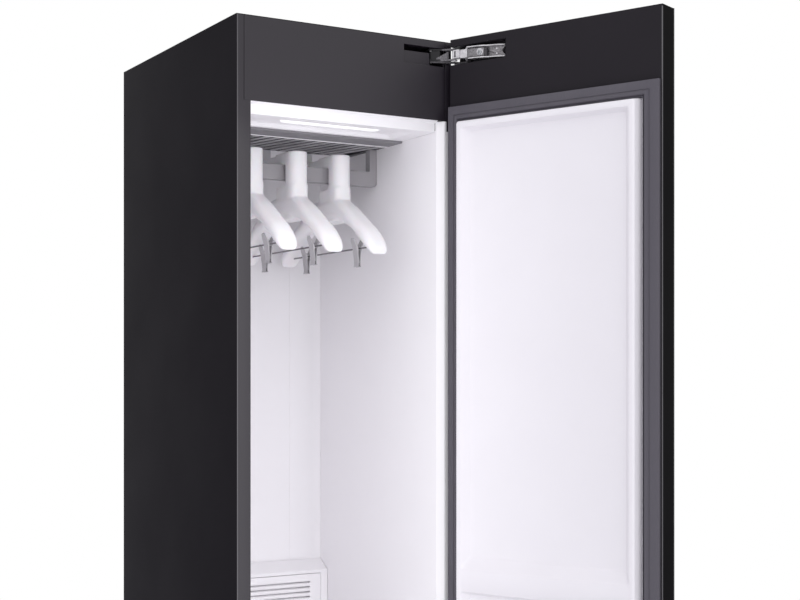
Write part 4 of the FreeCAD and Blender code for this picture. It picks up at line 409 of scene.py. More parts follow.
def skin_faces(rows, count, ends="flat"):
    """Faces of a skin over rows of corners: flat ends, "open" ends, or the last row "joined" to the first."""
    faces = []
    for k in range(rows if ends == "joined" else rows - 1):
        a, b = k * count, (k + 1) % rows * count
        faces += [(a + i, a + (i + 1) % count, b + (i + 1) % count, b + i) for i in range(count)]
    if ends == "flat":
        faces += [tuple(range(count)), tuple(range((rows - 1) * count, rows * count))]
    return faces


def rings(levels, axis, ends="flat"):
    """Skin through outlines of equal length; levels are (outline, level)."""
    points = [lifted(p, level, axis) for outline, level in levels for p in outline]
    return solid(points, skin_faces(len(levels), len(levels[0][0]), ends))


def bar(outline, low, high, axis):
    """Solid bar: an outline pushed along an axis between two levels."""
    return rings([(outline, low), (outline, high)], axis)


def block(x0, x1, y0, y1, z0, z1):
    return bar([(x0, y0), (x1, y0), (x1, y1), (x0, y1)], z0, z1, "z")


def turned(profile, place, axis="z", sides=32):
    """Lathe-turned solid about an axis through a place; profile is (radius, level) from end to end."""
    mesh = rings([(around(radius, sides), level) for radius, level in profile], "z")
    turn = {"y": Matrix.Rotation(-math.pi / 2, 4, "X"), "z": Matrix.Identity(4)}[axis]
    mesh.transform(Matrix.Translation(Vector(place) * MM) @ turn)
    return mesh


def tube(path, radius, sides=12):
    """Round wire along a path in millimetres."""
    path = [Vector(p) for p in path]
    points = []
    side = None
    for k, here in enumerate(path):
        along = (path[min(k + 1, len(path) - 1)] - path[max(k - 1, 0)]).normalized()
        if side is None:
            side = along.orthogonal().normalized()
        side = (side - along * side.dot(along)).normalized()
        other = along.cross(side)
        points += [here + across * side + up * other for across, up in around(radius, sides)]
    return solid(points, skin_faces(len(path), sides))


def filled(shape, loops, level, axis):
    """Adds a flat face at one level, inside the first loop and outside the others."""
    edges = []
    for loop in loops:
        verts = [shape.verts.new(Vector(lifted(p, level, axis)) * MM) for p in loop]
        edges += [shape.edges.new((verts[k - 1], verts[k])) for k in range(len(verts))]
    bmesh.ops.triangle_fill(shape, edges=edges, use_beauty=True)


def flat_fill(loops, level, axis):
    """Mesh of one flat face at a level, with holes for the loops after the first."""
    shape = bmesh.new()
    filled(shape, loops, level, axis)
    return mesh_of(shape)


def pierced(outline, holes, low, high, axis):
    """Plate with holes through it, between two levels along an axis."""
    shape = bmesh.new()
    loops = [outline] + holes
    for level in (low, high):
        filled(shape, loops, level, axis)
    shape.verts.ensure_lookup_table()
    start = 0
    half = len(shape.verts) // 2
    for loop in loops:
        count = len(loop)
        for k in range(count):
            a, b = start + k, start + (k + 1) % count
            shape.faces.new([shape.verts[i] for i in (a, b, half + b, half + a)])
        start += count
    bmesh.ops.recalc_face_normals(shape, faces=shape.faces)
    bmesh.ops.dissolve_limit(shape, angle_limit=math.radians(0.2), verts=shape.verts, edges=shape.edges)
    return mesh_of(shape)


ROOM_SHARE = 0.42   # share of the room beside an edge that its round may take
PARALLEL = 0.94     # cosine from which on two edges count as side by side


def room_beside(edge):
    """Length that a round of this edge can use on the faces at its sides."""
    along = (edge.verts[1].co - edge.verts[0].co).normalized()
    room = edge.calc_length()
    for face in edge.link_faces:
        for other in face.edges:
            run = other.verts[1].co - other.verts[0].co
            if other != edge and set(other.verts) & set(edge.verts) and run.length > 1e-7:
                lean = abs(run.normalized().dot(along))
                if lean < PARALLEL:
                    room = min(room, run.length * math.sqrt(1 - lean * lean))
    return room


def eased(mesh, radius_mm, segments=2, sharp=30.0):
    """Mesh with its sharp edges rounded; an edge with little room beside it takes a smaller round."""
    shape = shape_of(mesh)
    weight = shape.edges.layers.float.new("bevel_weight_edge")
    for edge in shape.edges:
        if len(edge.link_faces) == 2 and edge.calc_face_angle(0.0) >= math.radians(sharp):
            edge[weight] = min(1.0, ROOM_SHARE * room_beside(edge) / (radius_mm * MM))
    mesh_of(shape, mesh).shade_smooth()
    item = placed("eased", mesh)
    bevel = item.modifiers.new("bevel", "BEVEL")
    bevel.width = radius_mm * MM
    bevel.segments = segments
    bevel.limit_method = "WEIGHT"
    bevel.use_clamp_overlap = False
    bevel.harden_normals = True
    return settled(item)


def cad_copy(node):
    """Copy of a CAD node's mesh with its loose triangles merged and its flat faces joined."""
    mesh = frame["nodes"][node].data.copy()
    for extra in [a.name for a in mesh.attributes if a.name == "custom_normal"]:
        mesh.attributes.remove(mesh.attributes[extra])
    shape = shape_of(mesh)
    bmesh.ops.remove_doubles(shape, verts=shape.verts, dist=0.02 * MM)
    bmesh.ops.dissolve_limit(shape, angle_limit=math.radians(0.4), verts=shape.verts, edges=shape.edges)
    return mesh_of(shape, mesh)


def ease_node(node, radius_mm, slot, segments=2):
    """Shows a CAD node with its edges rounded as they leave the mould or the press."""
    bodies = frame["record"]["behaviour"]["bodies"]
    body = next(body for body, nodes in bodies.items() if node in nodes)
    mesh = eased(cad_copy(node), radius_mm, segments)
    return shown(node + "_finished", mesh, body, NODE_FINISH[node], slot, node)


# ------------------------------------------------------------------ geometry trees for what repeats
def tree_with(name, sockets):
    """Geometry tree with a geometry in and out and named inputs (name, socket kind, value)."""
    tree = bpy.data.node_groups.new(name, "GeometryNodeTree")
    tree.interface.new_socket("Geometry", in_out="INPUT", socket_type="NodeSocketGeometry")
    for label, kind, value in sockets:
        made = tree.interface.new_socket(label, in_out="INPUT", socket_type="NodeSocket" + kind)
        if value is not None:
            made.default_value = value
    tree.interface.new_socket("Geometry", in_out="OUTPUT", socket_type="NodeSocketGeometry")
    return tree, add(tree, "NodeGroupInput").outputs


def made_real(tree, given, instances):
    """Ends a tree: its instances made real, in the given material."""
    real = add(tree, "GeometryNodeRealizeInstances", {"Geometry": instances.outputs[0]})
    dressed = add(tree, "GeometryNodeSetMaterial", {"Geometry": real.outputs[0],
                                                    "Material": given["Material"]})
    add(tree, "NodeGroupOutput", {0: dressed.outputs[0]})
    return tree


def grown(tree, places, values):
    """Plain mesh that a tree makes from places in millimetres and its named input values."""
    base = bpy.data.meshes.new("places")
    base.from_pydata([Vector(p) * MM for p in places], [], [])
    item = placed("places", base)
    modifier = item.modifiers.new("grow", "NODES")
    modifier.node_group = tree
    for socket in tree.interface.items_tree:
        if socket.in_out == "INPUT" and socket.name in values:
            modifier[socket.identifier] = values[socket.name]
    return settled(item)


def slat_tree():
    """Straight slats, one at each place: a rounded rectangle swept along a run."""
    tree, given = tree_with("slat_row", [
        ("Run", "Vector", (0.1, 0.0, 0.0)), ("Width", "Float", 0.01), ("Thickness", "Float", 0.003),
        ("Edge Round", "Float", 0.0005), ("Lean", "Float", 0.0), ("Material", "Material", None)])
    line = add(tree, "GeometryNodeCurvePrimitiveLine", {"End": given["Run"]})
    tilted = add(tree, "GeometryNodeSetCurveTilt", {"Curve": line.outputs[0], "Tilt": given["Lean"]})
    outline = add(tree, "GeometryNodeCurvePrimitiveQuadrilateral",
                  {"Width": given["Width"], "Height": given["Thickness"]})
    soft = add(tree, "GeometryNodeFilletCurve", {"Curve": outline.outputs[0], "Radius": given["Edge Round"],
                                                 "Count": 2, "Limit Radius": True}, mode="POLY")
    slat = add(tree, "GeometryNodeCurveToMesh", {"Curve": tilted.outputs[0], "Profile Curve": soft.outputs[0],
                                                 "Fill Caps": True})
    return made_real(tree, given, add(tree, "GeometryNodeInstanceOnPoints",
                                      {"Points": given["Geometry"], "Instance": slat.outputs[0]}))


def screw_tree():
    """One screw head at each place, each turned by chance about its own axis."""
    tree, given = tree_with("screw_field", [
        ("Head", "Object", None), ("Size", "Float", 1.0), ("Facing", "Rotation", (0.0, 0.0, 0.0)),
        ("Seed", "Int", 1), ("Material", "Material", None)])
    head = add(tree, "GeometryNodeObjectInfo", {"Object": given["Head"]})
    chance = add(tree, "FunctionNodeRandomValue", {"Seed": given["Seed"], 2: 0.0, 3: 6.28})
    spin = add(tree, "FunctionNodeAxisAngleToRotation", {"Axis": (0.0, 0.0, 1.0),
                                                         "Angle": chance.outputs[1]})
    turn = add(tree, "FunctionNodeRotateRotation", {"Rotation": given["Facing"],
                                                    "Rotate By": spin.outputs[0]}, rotation_space="LOCAL")
    return made_real(tree, given, add(tree, "GeometryNodeInstanceOnPoints",
                                      {"Points": given["Geometry"], "Instance": head.outputs["Geometry"],
                                       "Rotation": turn.outputs[0], "Scale": given["Size"]}))


def screw_head():
    """Pan head 1 unit (8 mm) across and 2.4 mm high with a cross recess, standing on Z = 0."""
    radius, height, depth, arm, half, sides = 4.0, 2.4, 1.3, 2.1, 0.55, 20
    level_share = 0.72   # share of the radius over which the top is level
    cross = [(half, half), (half, arm), (-half, arm), (-half, half), (-arm, half), (-arm, -half),
             (-half, -half), (-half, -arm), (half, -arm), (half, -half), (arm, -half), (arm, half)]
    top = pierced(around(level_share * radius, sides), [cross], height - depth, height, "z")
    shape = shape_of(top)
    doomed = [f for f in shape.faces if f.calc_center_median().z < (height - depth + 0.01) * MM
              or (abs(f.normal.z) < 0.1 and Vector(f.calc_center_median().xy).length > 0.7 * radius * MM)]
    bmesh.ops.delete(shape, geom=doomed, context="FACES_ONLY")

    def face(corners):
        shape.faces.new([shape.verts.new(Vector(corner) * MM) for corner in corners])

    profile = ((level_share, height), (0.92, height * 0.8), (1.0, 0.9), (1.0, 0.0))
    for (r0, z0), (r1, z1) in zip(profile, profile[1:]):
        inner, outer = around(r0 * radius, sides), around(r1 * radius, sides)
        for k in range(sides):
            after = (k + 1) % sides
            face([(*inner[k], z0), (*inner[after], z0), (*outer[after], z1), (*outer[k], z1)])
    face([(x, y, height - depth) for x, y in cross])
    face([(x, y, 0.0) for x, y in around(radius, sides)])
    bmesh.ops.remove_doubles(shape, verts=shape.verts, dist=0.001 * MM)
    bmesh.ops.recalc_face_normals(shape, faces=shape.faces)
    return placed("screw_head", mesh_of(shape, top))


SLATS = slat_tree()
SCREWS = screw_tree()
HEAD = screw_head()


def screws(name, places, size, body, seed):
    """Screw heads at places on a face that looks back; on the door they are swung with it."""
    mesh = grown(SCREWS, places, {"Head": HEAD, "Size": size, "Facing": (-math.pi / 2, 0.0, 0.0),
                                  "Seed": seed, "Material": MATERIAL["zinc_plated_screw"]})
    return shown(name, swung(mesh) if body == "door" else mesh, body, "zinc_plated_screw", "chrome")


# ------------------------------------------------------------------ cabinet skins
def faced(piece, direction, material, beyond=0.0):
    """Gives the faces that look along a direction, from a distance on, a finish of their own."""
    piece.data.materials.append(MATERIAL[material])
    for face in piece.data.polygons:
        if face.normal.dot(direction) > 0.6 and face.center.dot(direction) > beyond:
            face.material_index = 1


def side_skin(side):
    """Folded steel side: one bend down the front edge, its return wider beside the opening. A paler glossy
    strip on the bend is a painted highlight, and the front faces take the lighter satin facia paint as
    painted sheen.
    """
    meshes, bend_highlights = [], []
    sheet, proud, lid = 1.0, 0.04, 1849.0
    beside_opening = 27.0 if side < 0 else 10.5
    outer, inner = side * HALF, side * (HALF - sheet)
    for low, high, fold in ((15.0, 430.0, 14.0), (430.0, 1700.0, beside_opening), (1700.0, lid, 14.0)):
        lip = side * (HALF - fold)
        outline = rounded([(outer, REAR, 0.0), (outer, FRONT, 1.8), (lip, FRONT, 0.4),
                           (lip, FRONT + sheet, 0.3), (inner, FRONT + sheet, 0.8), (inner, REAR, 0.0)], 4)
        meshes.append(bar(outline, low, high, "z"))
        # a thin paler strip just proud of the bend: a painted highlight down the front edge
        near, far, skin = outer - side * proud, outer - side * 2.6, outer - side * 0.3
        bend_highlights.append(bar(rounded([(near, FRONT + 3.4, 0.0), (near, FRONT - proud, 1.84),
                                  (far, FRONT - proud, 0.0), (far, FRONT + 0.3, 0.0),
                                  (skin, FRONT + 0.3, 1.5), (skin, FRONT + 3.4, 0.0)], 4), low, high, "z"))
    meshes.append(block(min(outer, inner), max(outer, inner), FRONT + sheet, REAR, lid, TOP))
    node = "left_side_panel" if side < 0 else "right_side_panel"
    piece = shown(node + "_finished", smoothed(joined(meshes), 35.0), "cabinet", "powder_coated_steel",
                  "dark_steel", node)
    # the front-facing faces of the same powder-coated sheet take the lighter, glossier satin facia paint:
    # painted sheen where they face the light
    faced(piece, Vector((0.0, -1.0, 0.0)), "satin_painted_steel")
    shown(node + "_bend", smoothed(joined(bend_highlights), 35.0), "cabinet", "glossy_edge_painted_highlight", "dark_steel")


def rounded_nodes():
    """CAD nodes whose only finish in shape is a round on each edge."""
    for node, radius, slot in (
            ("top_panel", 0.8, "dark_steel"), ("header_facia", 0.8, "satin_facia"),
            ("lower_facia", 0.8, "satin_facia"), ("liner_left_wall", 0.8, "white_liner"),
            ("liner_right_wall", 0.9, "white_liner"), ("liner_back_wall", 0.9, "white_liner"),
            ("liner_ceiling", 2.4, "white_liner"), ("liner_floor", 1.5, "white_liner"),
            ("rear_louvre_cover", 2.4, "white_liner"), ("lint_filter", 0.5, "white_liner"),
            ("hanger_nozzles", 0.8, "white_moulding"), ("water_tank_cap", 0.9, "tank_cap"),
            ("drain_tank_cap", 0.9, "tank_cap"), ("power_inlet", 0.2, "black_plastic"),
            ("base_tray", 1.0, "galvanised"), ("front_left_foot", 0.8, "rubber_foot"),
            ("front_right_foot", 0.8, "rubber_foot")):
        ease_node(node, radius, slot, segments=3 if radius > 1.0 else 2)


def door_frame():
    """The door's black moulding, its free rim in a matt film."""
    along = Matrix.Rotation(DOOR_ANGLE, 3, "Z") @ Vector((-1.0, 0.0, 0.0))
    faced(ease_node("door_frame", 1.2, "black_plastic", segments=3), along, "matt_edge_film", 0.6)


def hanging_rail():
    """Painted bar bent down from the ceiling at both ends, its lower corners rounded."""
    half, leg, deep = SPAN_HALF, 16.0, 9.0
    low, high, seat = CEILING - 79.0, CEILING - 49.0, CEILING - 4.0
    outline = rounded([(-half, seat, 0.0), (-half, low, 9.0), (half, low, 6.5), (half, seat, 0.0),
                       (half - leg, seat, 0.0), (half - leg, high, 2.5), (leg - half, high, 2.5),
                       (leg - half, seat, 0.0)], 6)
    mesh = eased(bar(outline, RAIL_MIDDLE - deep, RAIL_MIDDLE + deep, "y"), 1.1)
    shown("hanging_rail_bent", mesh, "cabinet", "satin_rail_paint", "rail_grey", "hanging_rail")


def lamp_lens():
    """Frosted lens that bulges a little out of the trough."""
    half, front, rear, seat = 102.0, FRONT + 54.0, FRONT + 80.0, CEILING + 8.0
    # how far in and how far down each outline lies
    bulge = ((0.0, 0.0), (0.0, 3.0), (0.8, 4.6), (2.6, 5.9), (5.2, 6.6), (8.0, 6.9))
    levels = [(oblong(inset - half, half - inset, front + inset, rear - inset, 6.0, 6), seat - drop)
              for inset, drop in bulge]
    shown("lamp_lens_domed", smoothed(rings(levels, "z")), "cabinet", "frosted_lens", "lens", "lamp_lens")


def rear_screws():
    """Screws round the rear skin, every 295 mm up the sides and three across top and bottom."""
    reach, first, pitch = 212.0, 60.0, 295.0
    places = [(side * reach, REAR, first + pitch * k) for side in (-1, 1) for k in range(7)]
    places += [(x, REAR, z) for x in (-110.0, 0.0, 110.0) for z in (32.0, 1838.0)]
    screws("rear_skin_screws", places, 0.9, "cabinet", 3)


# ------------------------------------------------------------------ ceiling grille
def slat_runs(first, depth, window, slope, pitch):
    """Places of the slats, grouped by length: a slat that meets a side of the window is cut short."""
    runs = {}
    reach = window - 5.0
    for k in range(-2, 18):
        x = -window - 5.0 + k * pitch
        start = (x - reach) / slope if x > reach else 0.0
        end = (x + reach) / slope if x - depth * slope < -reach else depth
        if end - start > 12.0 and end > 0.0:
            runs.setdefault(round(end - start, 1), []).append((x - start * slope, first + start,
                                                               CEILING - 3.2))
    return sorted(runs.items())


def grille():
    """Frame with a plain front band, and thin slats that lean across its window."""
    front, slats_front, back = FRONT + 137.0, FRONT + 193.0, FRONT + 350.0
    window_front, window_back = slats_front + 1.5, back - 4.0
    half, window = SPAN_HALF, 191.0
    under = CEILING - 4.0

    def square(side, near, far):
        return [(-side, near), (side, near), (side, far), (-side, far)]

    plate = pierced(square(half, slats_front, back), [square(window, window_front, window_back)],
                    under, CEILING, "z")
    band_back = slats_front - 2.6
    band = bar([(front, CEILING), (front, under), (band_back, under), (band_back, CEILING)],
               -half, half, "x")
    rib = bar([(band_back, CEILING - 1.0), (band_back, CEILING - 5.6), (slats_front - 0.6, CEILING - 5.6),
               (slats_front, CEILING - 1.0)], -half, half, "x")
    shown("grille_rib", eased(rib, 0.3), "cabinet", "moulded_white_abs", "white_liner")
    collar_half, edge, wall = 182.6, 5.0, 2.4
    collar = pierced(square(collar_half, front + edge, back - edge),
                     [square(collar_half - wall, front + edge + wall, back - edge - wall)],
                     CEILING, CEILING + 10.0, "z")
    shown("grille_frame", joined([eased(plate, 0.5), eased(band, 0.4), collar]), "cabinet",
          "satin_grey_polymer", "grey_grille", "ceiling_grille")
    slope = math.tan(math.radians(15.0))
    # the slats' paler grey is painted light on the grille's one moulding
    slats = [grown(SLATS, places, {"Run": (-length * slope * MM, length * MM, 0.0), "Width": 11.6 * MM,
                                   "Thickness": 1.0 * MM, "Edge Round": 0.35 * MM,
                                   "Lean": math.radians(3.0),
                                   "Material": MATERIAL["slat_grey_painted_light"]})
             for length, places in slat_runs(window_front, window_back - window_front, window, slope, 22.5)]
    shown("grille_slats", joined(slats), "cabinet", "slat_grey_painted_light", "grey_grille", "ceiling_grille")
    # black strips at both ends of the slat window, just above the slats: painted shade of the duct
    shade = [block(side * 179.0, side * 191.0, slats_front, back - 3.0, CEILING - 0.5, CEILING - 0.05)
             for side in (-1, 1)]
    shown("grille_duct_shade", joined(shade), "cabinet", "black_abs", "black_plastic")


# ------------------------------------------------------------------ hangers
# share of an arm's reach, then drop of its top, drop of its underside and half width, in mm
ARM_ROWS = [(0.00, 84.0, 131.0, 21.5), (0.24, 86.0, 131.0, 21.5), (0.37, 98.0, 135.5, 21.8),
            (0.46, 107.5, 143.0, 22.0), (0.62, 128.0, 157.0, 22.0), (0.72, 140.5, 172.5, 22.0),
            (0.82, 152.5, 186.5, 22.0), (0.92, 169.0, 200.0, 21.6), (0.97, 180.0, 206.5, 20.0),
            (1.00, 191.0, 206.5, 16.5)]


def arm_levels(share):
    """Top, underside and half width of an arm at a share of its reach, by smooth steps."""
    last = len(ARM_ROWS) - 1
    k = next((k for k in range(last) if share <= ARM_ROWS[k + 1][0] + 1e-9), last - 1)
    a, b = ARM_ROWS[k], ARM_ROWS[k + 1]
    before, after = ARM_ROWS[max(k - 1, 0)], ARM_ROWS[min(k + 2, last)]
    span = b[0] - a[0]
    t = (share - a[0]) / span
    values = []
    for i in (1, 2, 3):
        slope_a = (b[i] - before[i]) / (b[0] - before[0]) * span
        slope_b = (after[i] - a[i]) / (after[0] - a[0]) * span
        values.append((2 * t ** 3 - 3 * t ** 2 + 1) * a[i] + (t ** 3 - 2 * t ** 2 + t) * slope_a
                      + (3 * t ** 2 - 2 * t ** 3) * b[i] + (t ** 3 - t ** 2) * slope_b)
    return values


def hanger_arms():
    """Both arms as one body, drawn through rounded sections from tip to tip."""
    levels = []
    steps = 30
    for k in range(-steps, steps + 1):
        top, low, half = arm_levels(abs(k) / steps)
        corner = min(15.0, (low - top) / 2 - 0.4)
        levels.append((oblong(-half, half, HOOK_TOP - low, HOOK_TOP - top, corner, 6),
                       RAIL_MIDDLE + k / steps * ARM_REACH))
    return rings(levels, "y")


def hanger_shape():
    """Blow-moulded hanger at X = 0: neck ahead of the rail, bridge over it, hub below, two arms."""
    front, rail_front, rear = -93.0, -50.0, -14.0
    foot, hub_top, under = HOOK_TOP - 132.0, HOOK_TOP - 65.0, HOOK_TOP - 22.0
    neck = bar(oblong(-19.6, 19.6, front - 0.6, rail_front, 18.0, 8), foot, HOOK_TOP, "z")
    hub = bar(oblong(-19.0, 19.0, front, rear, 12.0, 8), foot, hub_top, "z")
    bridge = bar(rounded([(-70.0, under, 0.0), (rear - 5.0, under, 0.0), (rear - 5.0, under - 9.0, 2.0),
                          (rear, under - 9.0, 2.0), (rear, HOOK_TOP, 7.0), (-70.0, HOOK_TOP, 0.0)], 6),
                 -19.0, 19.0, "x")
    item = placed("hanger", joined([neck, hub, bridge, hanger_arms()]))
    remesh = item.modifiers.new("remesh", "REMESH")
    remesh.mode = "VOXEL"
    remesh.voxel_size = 1.6 * MM
    soften = item.modifiers.new("soften", "SMOOTH")
    soften.factor = 0.5
    soften.iterations = 10
    mesh = settled(item)
    mesh.shade_smooth()
    return mesh


def hangers():
    shape = hanger_shape()
    half = ARM_REACH - 16.0
    for k, x in enumerate(HANGER_X):
        body = "hanger_%d" % (k + 1)
        shown(body + "_moulding", moved(shape, (x, 0, 0)), body, "waxy_white_polypropylene",
              "white_moulding", body)
        wire = tube([(x, RAIL_MIDDLE - half, WIRE_LEVEL), (x, RAIL_MIDDLE + half, WIRE_LEVEL)], 1.6, 20)
        shown(body + "_wire", smoothed(wire), body, "drawn_stainless_wire", "chrome", body)


# ------------------------------------------------------------------ clips
def clip_plate(side):
    """Pressed steel leg: a narrow finger tab on top, ears folded round the wire, a jaw below."""
    # height, distance from the wire's upright plane, half width
    rows = [(20.4, 11.2, 4.6), (18.6, 11.6, 6.4), (14.0, 10.6, 8.2), (9.0, 8.9, 9.4), (5.0, 7.4, 10.0),
            (2.5, 6.6, 10.2), (0.0, 6.0, 10.2), (-3.0, 5.5, 10.2), (-8.0, 4.7, 9.8), (-16.0, 3.7, 9.4),
            (-24.0, 2.8, 9.2), (-29.0, 2.2, 9.2), (-32.5, 2.4, 9.4), (-35.4, 3.6, 9.4)]
    columns = [-1.0, -0.97, -0.88, -0.72, -0.36, 0.0, 0.36, 0.72, 0.88, 0.97, 1.0]
    ears = [2.6, 1.2, 0.35, 0.08, 0.0, 0.0, 0.0, 0.08, 0.35, 1.2, 2.6]
    sheet = 1.1
    layers = []
    for inset in (0.0, sheet):
        for z, x, half in rows:
            deep = 1.0 if -4.0 < z < 6.0 else 0.45 if -26.0 < z < 15.0 else 0.12
            for column, ear in zip(columns, ears):
                narrowed = column * (half - (inset if abs(column) > 0.9 else 0.0))
                layers.append((side * (x - inset - ear * deep), narrowed, z))
    wide, tall = len(columns), len(rows)
    faces = []
    for layer in (0, tall * wide):
        for i in range(tall - 1):
            for j in range(wide - 1):
                a = layer + i * wide + j
                faces.append((a, a + 1, a + wide + 1, a + wide))
    rim = list(range(wide)) + [i * wide + wide - 1 for i in range(1, tall)]
    rim += [(tall - 1) * wide + j for j in range(wide - 2, -1, -1)]
    rim += [i * wide for i in range(tall - 2, 0, -1)]
    faces += [(a, b, b + tall * wide, a + tall * wide) for a, b in zip(rim, rim[1:] + rim[:1])]
    return smoothed(solid(layers, faces), 50.0)


def clip_spring():
    """Wound torsion spring round the wire, with a tail up one leg."""
    turns, radius, half = 6, 2.9, 3.3
    path = [(-7.6, -half, 9.0), (-5.0, -half, 3.6), (-radius, -half, 0.6)]
    steps = turns * 10
    for k in range(steps + 1):
        angle = math.pi + 2 * math.pi * k / 10
        path.append((radius * math.cos(angle), -half + 2 * half * k / steps, radius * math.sin(angle)))
    mesh = tube(path, 0.5, 6)
    mesh.shade_smooth()
    return mesh


def clip_pad(side):
    near, far = sorted((side * 0.35, side * 1.9))
    return eased(block(near, far, -6.6, 6.6, -33.6, -27.4), 0.3)


def clip_knuckles(reach):
    """Two collars on the wire, at a reach to either side of the clip's middle."""
    return smoothed(joined([turned([(1.75, end * reach - 1.0), (3.2, end * reach - 1.0),
                                    (3.2, end * reach + 1.0), (1.75, end * reach + 1.0)],
                                   (0, 0, 0), "y", 16) for end in (-1, 1)]))


def clips():
    parts = {side: (clip_plate(side), clip_knuckles(reach), clip_pad(side))
             for side, reach in ((-1, 6.6), (1, 4.1))}
    spring = clip_spring()
    for k, x in enumerate(HANGER_X):
        for end, offset in (("front", -CLIP_OFFSET), ("rear", CLIP_OFFSET)):
            name = "clip_%d_%s" % (k + 1, end)
            place = (x, RAIL_MIDDLE + offset, WIRE_LEVEL)
            for side, node, body in ((-1, name + "_leg", name), (1, name + "_jaw", name + "_jaw")):
                plate, knuckles, pad = [moved(mesh, place) for mesh in parts[side]]
                shown(node + "_plate", joined([plate, knuckles]), body, "rolled_stainless", "clip_grey",
                      node)
                shown(node + "_pad", pad, body, "jaw_rubber", "rubber_foot", node)
            shown(name + "_spring", moved(spring, place), name, "drawn_stainless_wire", "clip_grey",
                  name + "_leg")


# ------------------------------------------------------------------ door
def between(outer, inner, share):
    return tuple(a + (b - a) * share for a, b in zip(outer, inner))


def gasket():
    """Magnetic seal: a broad foot with a groove, and a hollow-looking bead round its inner edge."""
    foot = (-217.0, 220.6, 396.0, 1722.0)
    mouth = (-187.0, 194.3, 437.7, 1693.3)
    low = DOOR_FACE + 0.3
    profile = [(foot, 0.0), (foot, 6.8), (between(foot, mouth, 0.02), 7.7), (between(foot, mouth, 0.05), 8.0)]
    for inset, rise in ((13.2, 8.0), (12.7, 7.2), (12.1, 7.2), (11.6, 8.0), (11.0, 8.4), (9.6, 10.8),
                        (8.8, 11.3), (5.2, 11.3), (4.4, 10.8), (3.4, 8.4), (3.0, 7.6), (2.7, 6.0),
                        (1.6, 6.0), (1.3, 7.6), (1.0, 8.0), (0.3, 8.0), (0.0, 7.7), (0.0, 0.0)):
        profile.append(((mouth[0] - inset, mouth[1] + inset, mouth[2] - inset, mouth[3] + inset), rise))
    levels = [([(x0, z0), (x1, z0), (x1, z1), (x0, z1)], low + rise) for (x0, x1, z0, z1), rise in profile]
    mesh = smoothed(rings(levels, "y", "joined"), 28.0)
    shown("door_gasket_seal", swung(mesh), "door", "grey_pvc_seal", "gasket_grey", "door_gasket")


def door_liner():
    """Vacuum-formed liner: drafted sides with soft corners, and two shallow trays in its face."""
    base, face = DOOR_FACE + 0.3, DOOR_FACE + 25.0
    foot = (-183.0, 194.0, 438.0, 1693.0)
    flange = (foot[0] - 3.7, foot[1] + 0.1, foot[2] - 0.1, foot[3] + 0.1)

    def outline(rect, inset, corner):
        return oblong(rect[0] + inset, rect[1] - inset, rect[2] + inset, rect[3] - inset, corner, 6)

    shoulder = [(outline(flange, 0.0, 4.0), base), (outline(flange, 0.0, 4.0), base + 1.2),
                (outline(foot, 0.0, 4.0), base + 1.5), (outline(foot, 2.9, 4.4), face - 4.2),
                (outline(foot, 3.2, 4.6), face - 2.6), (outline(foot, 4.0, 5.0), face - 1.1),
                (outline(foot, 5.2, 5.6), face - 0.25), (outline(foot, 6.6, 6.2), face)]
    skins = [rings(shoulder, "y", "open"), flat_fill([shoulder[0][0]], base, "y")]
    front = [shoulder[-1][0]]
    dip = ((-0.03, 0.0), (0.03, 0.35), (0.12, 1.5), (0.88, 12.5), (0.97, 13.65), (1.05, 14.0))
    for x0, x1, z0, z1 in ((-169.5, 180.0, 858.0, 1677.5), (-169.5, 180.0, 455.5, 818.0)):
        tray = [(oblong(x0 + 13.0 * share, x1 - 13.0 * share, z0 + 23.0 * share, z1 - 6.0 * share,
                        5.0 - 2.0 * max(share, 0.0), 6), face - drop) for share, drop in dip]
        skins += [rings(tray, "y", "open"), flat_fill([tray[-1][0]], face - 14.0, "y")]
        front.append(tray[0][0])
    skins.append(flat_fill(front, face, "y"))
    shape = shape_of(joined(skins))
    bmesh.ops.remove_doubles(shape, verts=shape.verts, dist=0.01 * MM)
    bmesh.ops.recalc_face_normals(shape, faces=shape.faces)
    shown("door_liner_formed", swung(smoothed(mesh_of(shape), 60.0)), "door", "formed_white_abs",
          "white_liner", "door_liner")


def liner_lip():
    """Thin white lip where the right wall of the liner wraps on to the front of the side panel."""
    lip = eased(block(209.5, 214.6, FRONT - 0.2, FRONT + 1.6, 60.0, CEILING), 0.3)
    shown("liner_lip", lip, "cabinet", "moulded_white_abs", "white_liner")


def door_rim():
    """Raised strip down the door's free edge in the paler glossy edge paint: a painted highlight where the
    moulding's rounded edge catches the light.
    """
    bead = eased(block(-221.0, -219.2, DOOR_FACE - 1.0, DOOR_FACE + 0.6, 24.0, 1846.0), 0.25)
    # the strip's paler glossy paint is a painted highlight on the door's edge
    shown("door_rim_bead", swung(bead), "door", "glossy_edge_painted_highlight", "black_plastic")


# ------------------------------------------------------------------ hinges
def from_pin(reach, degrees):
    """Place in plan at a reach and bearing from the hinge pin."""
    bearing = math.radians(degrees)
    return HINGE_PIN[0] + reach * math.cos(bearing), HINGE_PIN[1] + reach * math.sin(bearing)


def drooped(mesh):
    """Lets the arm fall away a little towards its tail."""
    for vertex in mesh.vertices:
        vertex.co.z -= max(0.0, DROOP_FROM * MM - vertex.co.x) * DROOP
    return mesh


